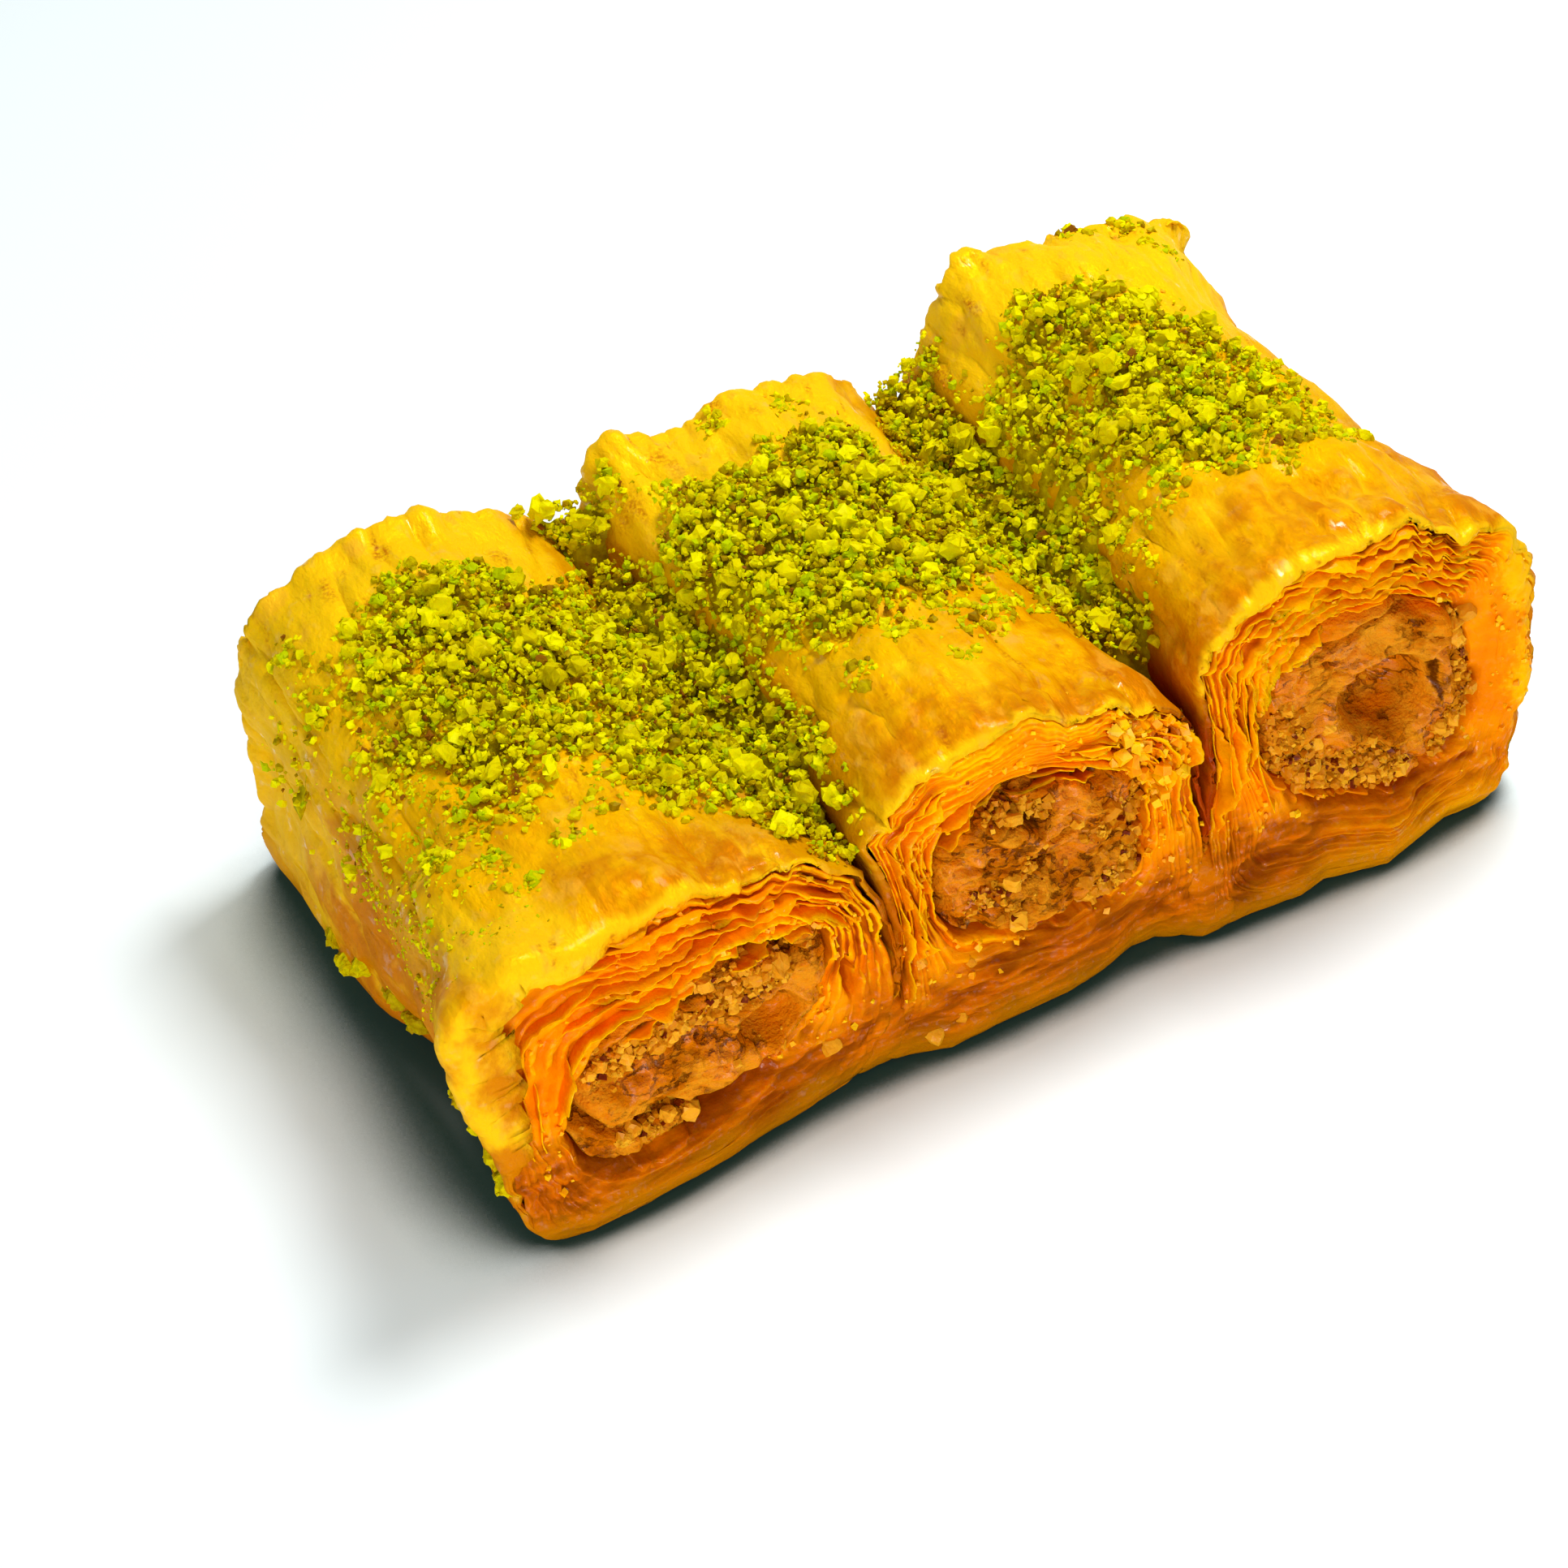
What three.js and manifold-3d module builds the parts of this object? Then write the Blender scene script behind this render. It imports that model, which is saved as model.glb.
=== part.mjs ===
// A piece of rolled baklava: three phyllo rolls side by side, stuck together by syrup and cut
// square at both ends, each round a filling of folded pastry and crushed nuts, with a drift of
// ground pistachio over the tops and down in the two valleys.
//
// Millimetres, +Z up. X runs across the rolls, Y along them from the front cut face to the back
// one, and the origin is in the middle of the base.

import * as THREE from 'three';
import { mergeVertices } from 'three/addons/utils/BufferGeometryUtils.js';
import Module from 'manifold-3d';

const { lerp, clamp, smoothstep } = THREE.MathUtils;
const wasm = await Module();
wasm.setup();

// ---------------------------------------------------------------- driving dimensions

const LENGTH = 43.5; // of a roll, from the front cut face to the back one
const MIDDLE = [41.6, 21.8]; // the middle of the base, from the left foot of the front cut face
const ROLL_HALF = 14; // half the width of one roll
const GAP = 0.3; // left between pieces that touch
const BASE_ROUND = 2.2; // round of a roll's bottom edges
const WAIST = 1.3; // how far a roll's upper half draws in halfway along it
const SAG = 1.0; // how far its crown drops there
const WRINKLE = 0.28; // depth of the folds in the outer skin
const RIDGE = 0.55; // how far a group of sheets stands out of the cut face
const SOAKED_BULGE = 1.3; // the syrupy foot of the cut face reaches this far out
const SOAKED_HEIGHT = 8;
const LUMP = 0.7; // relief of the filling's ends
const FILLING_INSET = 0.6; // the filling's ends lie this far inside the cut faces

const AROUND = 44; // facets round a roll
const ALONG = 7; // facets along its outer skin
const STATIONS = Array.from({ length: ALONG + 1 }, (_, j) => stationAt(j)); // y of its rings
const FACE_RINGS = 6; // rings of sheets on a cut face
const FILLING_AROUND = 26;
const FILLING_RINGS = 4;

// The cross-sections of each roll at its front and back cut faces, as [x, z]. The feet are the
// x of the bottom edges. Belly, shoulders and crown are where the outline turns.
const ROLLS = {
  left: {
    front: {
      feet: [0, 28.2],
      bellyLeft: [-1.9, 12],
      shoulderLeft: [-1.4, 24.2],
      crown: [8, 25.8],
      shoulderRight: [25.4, 22.4],
      bellyRight: [30.4, 13],
    },
    back: {
      feet: [0, 27.7],
      bellyLeft: [-1.6, 12],
      shoulderLeft: [1.4, 23.6],
      crown: [11, 28.8],
      shoulderRight: [22.8, 25.2],
      bellyRight: [29.2, 14],
    },
  },
  middle: {
    front: {
      feet: [28.4, 55.5],
      bellyLeft: [29.9, 13],
      shoulderLeft: [28.9, 23.4],
      crown: [38.8, 28.8],
      shoulderRight: [52.4, 23.6],
      bellyRight: [56.8, 14],
    },
    back: {
      feet: [27.8, 55.3],
      bellyLeft: [28.5, 14],
      shoulderLeft: [29.8, 25],
      crown: [39.5, 29.2],
      shoulderRight: [51.4, 25.6],
      bellyRight: [56.5, 14],
    },
  },
  right: {
    front: {
      feet: [55.6, 84.4],
      bellyLeft: [56.5, 15],
      shoulderLeft: [56.6, 26.4],
      crown: [68.8, 30.8],
      shoulderRight: [82.6, 25.8],
      bellyRight: [86, 13],
    },
    back: {
      feet: [55.4, 85.2],
      bellyLeft: [56.3, 14],
      shoulderLeft: [59.2, 27.4],
      crown: [65.6, 32],
      shoulderRight: [82.8, 27.4],
      bellyRight: [87, 15],
    },
  },
};

// The surfaces along which two rolls are stuck, as x at the foot, belly and valley heights.
const SEAM_HEIGHTS = [0, 13, 23];
const SEAMS = [
  { between: ['left', 'middle'], front: [28.3, 30.1, 27.6], back: [27.75, 28.8, 26.4] },
  { between: ['middle', 'right'], front: [55.55, 56.6, 55.2], back: [55.35, 56.4, 55.4] },
];

// The fillings: the middle of each, its half sizes, how far it leans, and its hollows, which are
// given by the place of the mouth on the front face, its half sizes and its depth.
const FILLINGS = {
  left: {
    centre: [14.2, 11.4],
    half: [10.2, 6.6],
    lean: 0.2,
    hollows: [{ at: [17.5, 10.6], half: [2.4, 2], depth: 2.2 }],
  },
  middle: {
    centre: [42.2, 15],
    half: [9, 7.6],
    lean: -0.12,
    hollows: [],
  },
  right: {
    centre: [70.6, 15.8],
    half: [9.4, 9.8],
    lean: -0.15,
    hollows: [{ at: [70.4, 15.2], half: [3.8, 3.6], depth: 5 }],
  },
};

// Where the outer skin curls out at a cut edge: the place on the outline, how wide it is there,
// how far it reaches along the roll and how far out it goes.
const CURLS = {
  left: [
    { at: [-1.8, 17], radius: 8, reach: 8, out: 1.7 },
    { at: [-1.2, 25], radius: 4, reach: 7, out: 1.2 },
  ],
  middle: [{ at: [29.6, 23.6], radius: 4, reach: 5, out: 0.7 }],
  right: [
    { at: [56.6, 26.6], radius: 4, reach: 7, out: 0.8 },
    { at: [84, 24.5], radius: 6, reach: 7, out: 0.9 },
  ],
};

// The pistachio drift: overlapping mounds, as the middle, half sizes and height of each.
const MOUNDS = [
  { at: [12.6, 27.6], half: [12.4, 14.6], height: 1.9 },
  { at: [27.2, 22], half: [7.5, 24], height: 2.3 },
  { at: [37, 25], half: [8, 13], height: 1.9 },
  { at: [45, 27.4], half: [9, 12], height: 1.9 },
  { at: [55.4, 25], half: [5.5, 18], height: 2.1 },
  { at: [65.5, 26.6], half: [11, 12], height: 1.9 },
  { at: [71, 20.5], half: [7.6, 8], height: 1.5 },
];
const DRIFT_CELL = 2.2; // mesh size of the drift's top
const DRIFT_FLOOR = 13; // the drift reaches no lower than this in the valleys
const DRIFT_LEVELLING = 4.2; // the drift evens out the ground over this distance
const DRIFT_RIPPLE = 0.35;
const CRUMBS = 80; // large crumbs fused to the drift
const CRUMB_SPACING = 3.4;
const CRUMB_RADIUS = [0.7, 1.35];

// Loose crumbs that lie on the skin of each roll, away from the drift, as [x, y].
const LOOSE = {
  left: [[2.6, 13.4], [10, 3], [3, 38.6], [17, 7], [20.5, 40.4], [5, 8]],
  middle: [[34.6, 10.4], [44.2, 10.8], [41.4, 8], [40, 40.6], [45.8, 40.4]],
  right: [[66.2, 12], [72.8, 11.8], [77.4, 13.4], [73, 40.6], [78, 40.8], [79.4, 36]],
};
const LOOSE_RADIUS = [0.75, 1.15];

// Sticky lumps of nuts and syrup on the outer side of the left roll, as [y, z].
const LUMPS_ON_SIDE = [[27, 5.4], [17.6, 6.6], [7.6, 9], [4.4, 4.6]];
const LUMP_RADIUS = 1.3;

const COLOURS = {
  skin: new THREE.MeshStandardMaterial({ color: 0xf2a51a, roughness: 0.32, metalness: 0 }),
  filling: new THREE.MeshStandardMaterial({ color: 0xb87a35, roughness: 0.7, metalness: 0 }),
  pistachio: new THREE.MeshStandardMaterial({ color: 0x9aa51c, roughness: 0.75, metalness: 0 }),
};

// ---------------------------------------------------------------- small helpers

/** The y of a ring of the outer skin; they lie closer together near the cut faces. */
function stationAt(j) {
  return (LENGTH * (1 - Math.cos((Math.PI * j) / ALONG))) / 2;
}

/** A repeatable stream of numbers from 0 to 1. */
function randomStream(seed) {
  let state = seed;
  return () => {
    state = (state * 1664525 + 1013904223) % 4294967296;
    return state / 4294967296;
  };
}

/** A smooth field of lumps from -1 to 1, each about `size` across. */
function lumps(x, y, z, size) {
  const [a, b, c] = [x / size, y / size, z / size];
  return (
    (Math.sin(2.1 * a + 1.3 * Math.sin(1.7 * c + b)) +
      Math.sin(2.4 * b + 1.1 * Math.sin(1.9 * a - c)) +
      Math.sin(2.2 * c + 1.2 * Math.sin(1.6 * b + a))) /
    3
  );
}

/** The value at `x` of the parabola through three points. */
function parabola(xs, ys, x) {
  let sum = 0;
  for (let i = 0; i < 3; i += 1) {
    const [j, k] = [(i + 1) % 3, (i + 2) % 3];
    sum += (ys[i] * (x - xs[j]) * (x - xs[k])) / ((xs[i] - xs[j]) * (xs[i] - xs[k]));
  }
  return sum;
}

/** A closed mesh's geometry with shared vertices and no collapsed faces. */
function tidied(geometry) {
  const bare = geometry.clone();
  bare.deleteAttribute('normal');
  bare.deleteAttribute('uv');
  const merged = mergeVertices(bare, 1e-4);
  const index = Array.from(merged.index.array);
  const kept = [];
  for (let i = 0; i < index.length; i += 3) {
    const [a, b, c] = index.slice(i, i + 3);
    if (a !== b && b !== c && c !== a) kept.push(a, b, c);
  }
  merged.setIndex(kept);
  return merged;
}

/** A solid from a closed geometry. */
function solidOf(geometry) {
  const merged = tidied(geometry);
  return new wasm.Manifold(
    new wasm.Mesh({
      numProp: 3,
      vertProperties: Float32Array.from(merged.attributes.position.array),
      triVerts: Uint32Array.from(merged.index.array),
    }),
  );
}

/** The geometry of a solid. */
function geometryOf(solid) {
  const mesh = solid.getMesh();
  const geometry = new THREE.BufferGeometry();
  geometry.setAttribute('position', new THREE.BufferAttribute(mesh.vertProperties, 3));
  geometry.setIndex(new THREE.BufferAttribute(mesh.triVerts, 1));
  geometry.computeVertexNormals();
  return geometry;
}

/** The skin over rows of points, each a closed ring. A `looped` skin joins its last row to its
 * first, and any other one has its first and last rows drawn together in a point. */
function ringsGeometry(rows, looped) {
  const positions = rows.flat(2);
  const around = rows[0].length;
  const index = [];
  const last = looped ? rows.length : rows.length - 1;
  for (let j = 0; j < last; j += 1) {
    for (let i = 0; i < around; i += 1) {
      const near = j * around;
      const far = ((j + 1) % rows.length) * around;
      const next = (i + 1) % around;
      index.push(near + i, far + i, near + next, near + next, far + i, far + next);
    }
  }
  const geometry = new THREE.BufferGeometry();
  geometry.setAttribute('position', new THREE.Float32BufferAttribute(positions, 3));
  geometry.setIndex(index);
  return geometry;
}

// ---------------------------------------------------------------- rolls

/** The closed outline of a cross-section, as points [x, z] evenly spaced along it. */
function outline(section, around) {
  const [left, right] = section.feet;
  const corners = [
    [left + BASE_ROUND, 0],
    [(left + right) / 2, 0],
    [right - BASE_ROUND, 0],
    [right, BASE_ROUND],
    section.bellyRight,
    section.shoulderRight,
    section.crown,
    section.shoulderLeft,
    section.bellyLeft,
    [left, BASE_ROUND],
  ];
  const points = corners.map(([x, z]) => new THREE.Vector3(x, 0, z));
  const curve = new THREE.CatmullRomCurve3(points, true, 'centripetal');
  curve.arcLengthDivisions = 400;
  return curve
    .getSpacedPoints(around)
    .slice(0, around)
    .map((point) => [point.x, Math.max(0, point.z)]);
}

/** The x of a seam between two rolls. */
function seamAt(seam, y, z) {
  const share = clamp(y / LENGTH, 0, 1);
  const xs = seam.front.map((x, i) => lerp(x, seam.back[i], share));
  return parabola(SEAM_HEIGHTS, xs, Math.min(z, SEAM_HEIGHTS[2] + 3));
}

/** The x held between the seams that a roll shares with its neighbours. */
function besideSeams(name, x, y, z, grown) {
  let held = x;
  for (const seam of SEAMS) {
    const limit = seamAt(seam, y, z);
    if (seam.between[0] === name) held = Math.min(held, limit - GAP / 2 + grown);
    if (seam.between[1] === name) held = Math.max(held, limit + GAP / 2 - grown);
  }
  return held;
}

/** How far the outer skin curls out near the front cut edge. */
function curlOut(name, x, y, z) {
  let out = 0;
  for (const curl of CURLS[name]) {
    const away = Math.hypot(x - curl.at[0], z - curl.at[1]) / curl.radius;
    const fade = Math.max(0, 1 - y / curl.reach) ** 2;
    out += curl.out * fade * Math.exp(-(away ** 2));
  }
  return out;
}

/** The ring of a roll's outer skin at `y`, `grown` outwards from its true surface. */
function skinRing(name, y, grown) {
  const { front, back } = ROLLS[name];
  const share = clamp(y / LENGTH, 0, 1);
  const near = outline(front, AROUND);
  const far = outline(back, AROUND);
  const ring = near.map(([x, z], i) => [lerp(x, far[i][0], share), lerp(z, far[i][1], share)]);
  const centre = (front.feet[0] + front.feet[1]) / 2;
  const middle = Math.sin(Math.PI * share);
  const shaped = ring.map(([x, z]) => {
    const high = smoothstep(z, 6, 20);
    const fold = WRINKLE * lumps(x, y, z, 3.4) * smoothstep(z, 1, 5);
    const drawnIn = ((x - centre) / ROLL_HALF) * WAIST * middle * high;
    const spread = 1 + fold / ROLL_HALF;
    return [
      centre + (x - centre) * spread - drawnIn,
      Math.max(0, z * spread - SAG * middle * high),
    ];
  });
  return shaped.map(([x, z], i) => {
    const [x0, z0] = shaped[(i + AROUND - 1) % AROUND];
    const [x1, z1] = shaped[(i + 1) % AROUND];
    const run = Math.hypot(x1 - x0, z1 - z0);
    const away = grown + curlOut(name, x, y, z);
    const out = [((z1 - z0) / run) * away, (-(x1 - x0) / run) * away];
    return [besideSeams(name, x + out[0], y, z, grown), Math.max(-grown, z + out[1])];
  });
}

/** The ring of a filling at `y`, scaled about its middle; `grown` widens it. */
function fillingRing(name, y, around, grown) {
  const { centre, half, lean } = FILLINGS[name];
  const ring = [];
  for (let i = 0; i < around; i += 1) {
    const angle = -Math.PI / 2 + (i / around) * 2 * Math.PI;
    const [c, s] = [Math.cos(angle), Math.sin(angle)];
    const wobble = 1 + 0.06 * lumps(half[0] * c, y / 3, half[1] * s, 4);
    const x = (half[0] * wobble + grown) * Math.sign(c) * Math.abs(c) ** 0.85;
    const z = (half[1] * wobble + grown) * Math.sign(s) * Math.abs(s) ** 0.85;
    ring.push([centre[0] + x + lean * z * 0.5, centre[1] + z + lean * x]);
  }
  return ring;
}

/** The tunnel round a filling, its points numbered from the same corner as the skin's. */
function tunnelRing(name, y) {
  const ring = fillingRing(name, y, AROUND, GAP);
  const { centre } = FILLINGS[name];
  const start = skinRing(name, 0, 0)[0];
  const towards = [start[0] - centre[0], start[1] - centre[1]];
  const length = Math.hypot(...towards);
  const facing = ring.map(([x, z]) => {
    const [dx, dz] = [x - centre[0], z - centre[1]];
    return (dx * towards[0] + dz * towards[1]) / (length * Math.hypot(dx, dz));
  });
  const first = facing.indexOf(Math.max(...facing));
  return ring.map((_, i) => ring[(i + first) % AROUND]);
}

/** How far the cut face stands out at a point of one of its rings of sheets. */
function faceRelief(ring, x, z, seed) {
  const side = ring % 2 === 1 ? 1 : -0.6;
  const raggedness = 0.55 + 0.45 * lumps(x, seed * 9, z, 2.6);
  const edge = ring === 0 || ring === FACE_RINGS ? 0 : 1;
  const foot = 1 - smoothstep(z, 0, SOAKED_HEIGHT);
  return edge * side * RIDGE * raggedness + SOAKED_BULGE * foot * (ring === 0 ? 0.6 : 1);
}

/** The phyllo shell of a roll: the outer skin, both cut faces and the tunnel for the filling. */
function shellGeometry(name) {
  const rows = STATIONS.map((y, j) => {
    const side = (j === ALONG ? 1 : 0) - (j === 0 ? 1 : 0);
    return skinRing(name, y, 0).map(([x, z]) => [x, y + side * faceRelief(0, x, z, side), z]);
  });
  const tunnelBack = tunnelRing(name, LENGTH);
  const tunnelFront = tunnelRing(name, 0);
  const outerBack = skinRing(name, LENGTH, 0);
  const outerFront = skinRing(name, 0, 0);
  const faceRing = (outer, inner, k, y, sign) =>
    outer.map(([x, z], i) => {
      const share = k / FACE_RINGS;
      const px = lerp(x, inner[i][0], share);
      const pz = lerp(z, inner[i][1], share);
      return [px, y + sign * faceRelief(k, px, pz, sign), pz];
    });
  for (let k = 1; k <= FACE_RINGS; k += 1) rows.push(faceRing(outerBack, tunnelBack, k, LENGTH, 1));
  for (const y of [LENGTH * 0.66, LENGTH * 0.33]) {
    rows.push(tunnelRing(name, y).map(([x, z]) => [x, y, z]));
  }
  for (let k = FACE_RINGS; k >= 1; k -= 1) rows.push(faceRing(outerFront, tunnelFront, k, 0, -1));
  return ringsGeometry(rows, true);
}

/** A roll's outer form without its tunnel, `grown` outwards and longer at both ends. */
function plugGeometry(name, grown) {
  const overrun = 3;
  const rowAt = (y, shift) => skinRing(name, y, grown).map(([x, z]) => [x, y + shift, z]);
  const cap = (row) => row.map(() => [FILLINGS[name].centre[0], row[0][1], FILLINGS[name].centre[1]]);
  const rows = [rowAt(0, -overrun)];
  for (const y of STATIONS) rows.push(rowAt(y, 0));
  rows.push(rowAt(LENGTH, overrun));
  return ringsGeometry([cap(rows[0]), ...rows, cap(rows.at(-1))], false);
}

/** How deep the hollows of a filling are at a point of its front face. */
function hollowDepth(name, x, z) {
  let depth = 0;
  for (const hollow of FILLINGS[name].hollows) {
    const away = Math.hypot((x - hollow.at[0]) / hollow.half[0], (z - hollow.at[1]) / hollow.half[1]);
    depth = Math.max(depth, hollow.depth * (1 - smoothstep(away, 0.35, 1)));
  }
  return depth;
}

/** A filling, running through its roll, lumpy at both ends. */
function fillingGeometry(name) {
  const { centre } = FILLINGS[name];
  const rows = [];
  const endRing = (y, share, sign) =>
    fillingRing(name, y, FILLING_AROUND, 0).map(([x, z]) => {
      const px = lerp(centre[0], x, share);
      const pz = lerp(centre[1], z, share);
      const lump = LUMP * lumps(px, y, pz, 2.2) * (share === 1 ? 0.3 : 1);
      const hollow = sign < 0 ? hollowDepth(name, px, pz) : 0;
      return [px, y + sign * (lump - FILLING_INSET - hollow), pz];
    });
  for (let k = 0; k <= FILLING_RINGS; k += 1) rows.push(endRing(0, k / FILLING_RINGS, -1));
  for (const share of [0.33, 0.66]) {
    rows.push(fillingRing(name, share * LENGTH, FILLING_AROUND, 0).map(([x, z]) => [x, share * LENGTH, z]));
  }
  for (let k = FILLING_RINGS; k >= 0; k -= 1) rows.push(endRing(LENGTH, k / FILLING_RINGS, 1));
  return ringsGeometry(rows, false);
}

// ---------------------------------------------------------------- pistachio

/** The height of the rolls' upper side at a place, or the valley floor between them. */
function groundAt(skins, x, y) {
  const j = Math.max(0, STATIONS.findLastIndex((station) => station < y));
  const share = (y - STATIONS[j]) / (STATIONS[j + 1] - STATIONS[j]);
  let height = DRIFT_FLOOR;
  for (const rings of skins) {
    const heights = [rings[j], rings[j + 1]].map((ring) => {
      let top = DRIFT_FLOOR;
      ring.forEach(([x0, z0], i) => {
        const [x1, z1] = ring[(i + 1) % ring.length];
        if ((x0 - x) * (x1 - x) > 0 || x0 === x1) return;
        top = Math.max(top, lerp(z0, z1, (x - x0) / (x1 - x0)));
      });
      return top;
    });
    height = Math.max(height, lerp(heights[0], heights[1], share));
  }
  return height;
}

/** The x of a roll's left side at a place along it and above its base. */
function leftSideAt(name, y, z) {
  const ring = skinRing(name, y, 0);
  return Math.min(...ring.filter((point) => Math.abs(point[1] - z) < 2).map((point) => point[0]));
}

/** The thickness of the drift, which is negative outside it. */
function driftThickness(x, y) {
  let thickness = -2;
  for (const { at, half, height } of MOUNDS) {
    const away = Math.hypot((x - at[0]) / half[0], (y - at[1]) / half[1]);
    thickness = Math.max(thickness, height * (1 - away ** 3));
  }
  return thickness + 0.5 * lumps(x, y, 5, 3.1);
}

/** The upper surface of the drift: the ground evened out, with the drift's thickness on it. */
function driftTop(skins, x, y) {
  const steps = [-1, -0.5, 0, 0.5, 1];
  const around = steps.map((step) => groundAt(skins, x + step * DRIFT_LEVELLING, y));
  const mean = around.reduce((sum, height) => sum + height, 0) / steps.length;
  const level = Math.max(groundAt(skins, x, y), mean);
  const thickness = driftThickness(x, y);
  if (thickness < 0) return groundAt(skins, x, y) + Math.max(-1.5, thickness * 2);
  return level + Math.min(1, thickness * 2) * (thickness * 0.75 + DRIFT_RIPPLE * lumps(x, y, 0, 1.6));
}

/** The body under the drift's top, down into the rolls. */
function driftGeometry(skins) {
  const [x0, x1, y0, y1] = [-1.5, 79.5, 0.4, LENGTH - 0.4];
  const across = Math.round((x1 - x0) / DRIFT_CELL);
  const along = Math.round((y1 - y0) / DRIFT_CELL);
  const body = new THREE.BoxGeometry(x1 - x0, y1 - y0, 1, across, along, 1);
  body.translate((x0 + x1) / 2, (y0 + y1) / 2, 0);
  const place = body.attributes.position;
  for (let i = 0; i < place.count; i += 1) {
    const [x, y] = [place.getX(i), place.getY(i)];
    place.setZ(i, place.getZ(i) > 0 ? driftTop(skins, x, y) : DRIFT_FLOOR);
  }
  return body;
}

/** A crumb: an icosahedron, squashed, turned and moved to its place. */
function crumbSolid(random, radius, x, y, z) {
  const crumb = new THREE.IcosahedronGeometry(radius, 0);
  crumb.scale(0.75 + 0.5 * random(), 0.75 + 0.5 * random(), 0.7 + 0.3 * random());
  crumb.rotateX(6 * random());
  crumb.rotateZ(6 * random());
  crumb.translate(x, y, z);
  return solidOf(crumb);
}

/** The largest of the separate bodies in a solid. */
function largestBody(solid) {
  const bodies = solid.decompose();
  return bodies.reduce((best, body) => (body.volume() > best.volume() ? body : best));
}

/** The drift with its large crumbs, cut to lie on the rolls. */
function driftSolid(skins) {
  const random = randomStream(7);
  let drift = solidOf(driftGeometry(skins));
  const placed = [];
  let tries = 0;
  while (placed.length < CRUMBS && tries < 4000) {
    tries += 1;
    const mound = MOUNDS[Math.floor(random() * MOUNDS.length)];
    const angle = 2 * Math.PI * random();
    const away = Math.sqrt(random());
    const x = mound.at[0] + mound.half[0] * away * Math.cos(angle);
    const y = mound.at[1] + mound.half[1] * away * Math.sin(angle);
    const radius = lerp(CRUMB_RADIUS[0], CRUMB_RADIUS[1], random() ** 2);
    const inside = y > 1.5 && y < LENGTH - 1.5 && driftThickness(x, y) > 0.5;
    const clear = placed.every((other) => Math.hypot(other[0] - x, other[1] - y) > CRUMB_SPACING);
    if (inside && clear) {
      placed.push([x, y]);
      drift = drift.add(crumbSolid(random, radius, x, y, driftTop(skins, x, y) + radius * 0.25));
    }
  }
  for (const name of Object.keys(ROLLS)) drift = drift.subtract(solidOf(plugGeometry(name, GAP)));
  return largestBody(drift);
}

/** A roll's shell with the loose crumbs that lie on its skin, clear of the drift. */
function rollSolid(name, skins, seed) {
  const random = randomStream(seed);
  let roll = solidOf(shellGeometry(name));
  for (const [x, y] of LOOSE[name]) {
    const radius = lerp(LOOSE_RADIUS[0], LOOSE_RADIUS[1], random());
    roll = roll.add(crumbSolid(random, radius, x, y, groundAt(skins, x, y) + radius * 0.2));
  }
  if (name === 'left') {
    for (const [y, z] of LUMPS_ON_SIDE) {
      roll = roll.add(crumbSolid(random, LUMP_RADIUS, leftSideAt(name, y, z), y, z));
    }
  }
  return roll;
}

// ---------------------------------------------------------------- assembly

/** A named mesh of one piece. */
function piece(name, geometry, material) {
  const mesh = new THREE.Mesh(geometry, material);
  mesh.name = name;
  return mesh;
}

const skins = Object.keys(ROLLS).map((name) => STATIONS.map((y) => skinRing(name, y, 0)));

const baklava = new THREE.Group();
Object.keys(ROLLS).forEach((name, i) => {
  const shell = rollSolid(name, skins, 11 + i);
  baklava.add(piece(`roll_${name}`, geometryOf(shell), COLOURS.skin));
  const filling = solidOf(fillingGeometry(name));
  baklava.add(piece(`filling_${name}`, geometryOf(filling), COLOURS.filling));
});
baklava.add(piece('pistachio_drift', geometryOf(driftSolid(skins)), COLOURS.pistachio));

// The origin goes to the middle of the base.
baklava.position.set(-MIDDLE[0], -MIDDLE[1], 0);

export default baklava;
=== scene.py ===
"""Rolled baklava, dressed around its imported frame.

Three phyllo rolls lie side by side, stuck together by syrup and cut square at both ends. Each is
wrapped round a filling of folded pastry and crushed nuts, and ground pistachio lies in a drift over
the tops and down in the two valleys. Shapes are worked out in millimetres, with X across the rolls
from the left foot, Y along them from the front cut face and Z up, and they become metres in the
frame's own axes when their mesh is made.
"""

from __future__ import annotations

import logging
import math
from collections.abc import Sequence
from dataclasses import dataclass, field
from enum import Enum
from typing import Any

import bpy
import numpy as np
from mathutils import Matrix, Vector

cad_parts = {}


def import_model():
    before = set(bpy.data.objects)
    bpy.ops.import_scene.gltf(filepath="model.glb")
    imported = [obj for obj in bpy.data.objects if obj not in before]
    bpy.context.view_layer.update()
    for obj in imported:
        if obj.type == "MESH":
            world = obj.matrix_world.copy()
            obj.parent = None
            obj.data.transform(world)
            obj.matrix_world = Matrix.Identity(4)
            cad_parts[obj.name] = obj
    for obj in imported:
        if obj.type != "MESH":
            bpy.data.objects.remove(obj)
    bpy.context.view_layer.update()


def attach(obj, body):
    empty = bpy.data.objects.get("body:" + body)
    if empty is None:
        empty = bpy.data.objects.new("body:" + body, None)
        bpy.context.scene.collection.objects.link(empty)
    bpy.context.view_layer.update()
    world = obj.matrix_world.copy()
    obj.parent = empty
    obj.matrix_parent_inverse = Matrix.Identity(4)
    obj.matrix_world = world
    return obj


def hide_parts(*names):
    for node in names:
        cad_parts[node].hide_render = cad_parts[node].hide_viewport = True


LOG = logging.getLogger("baklava")

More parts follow.
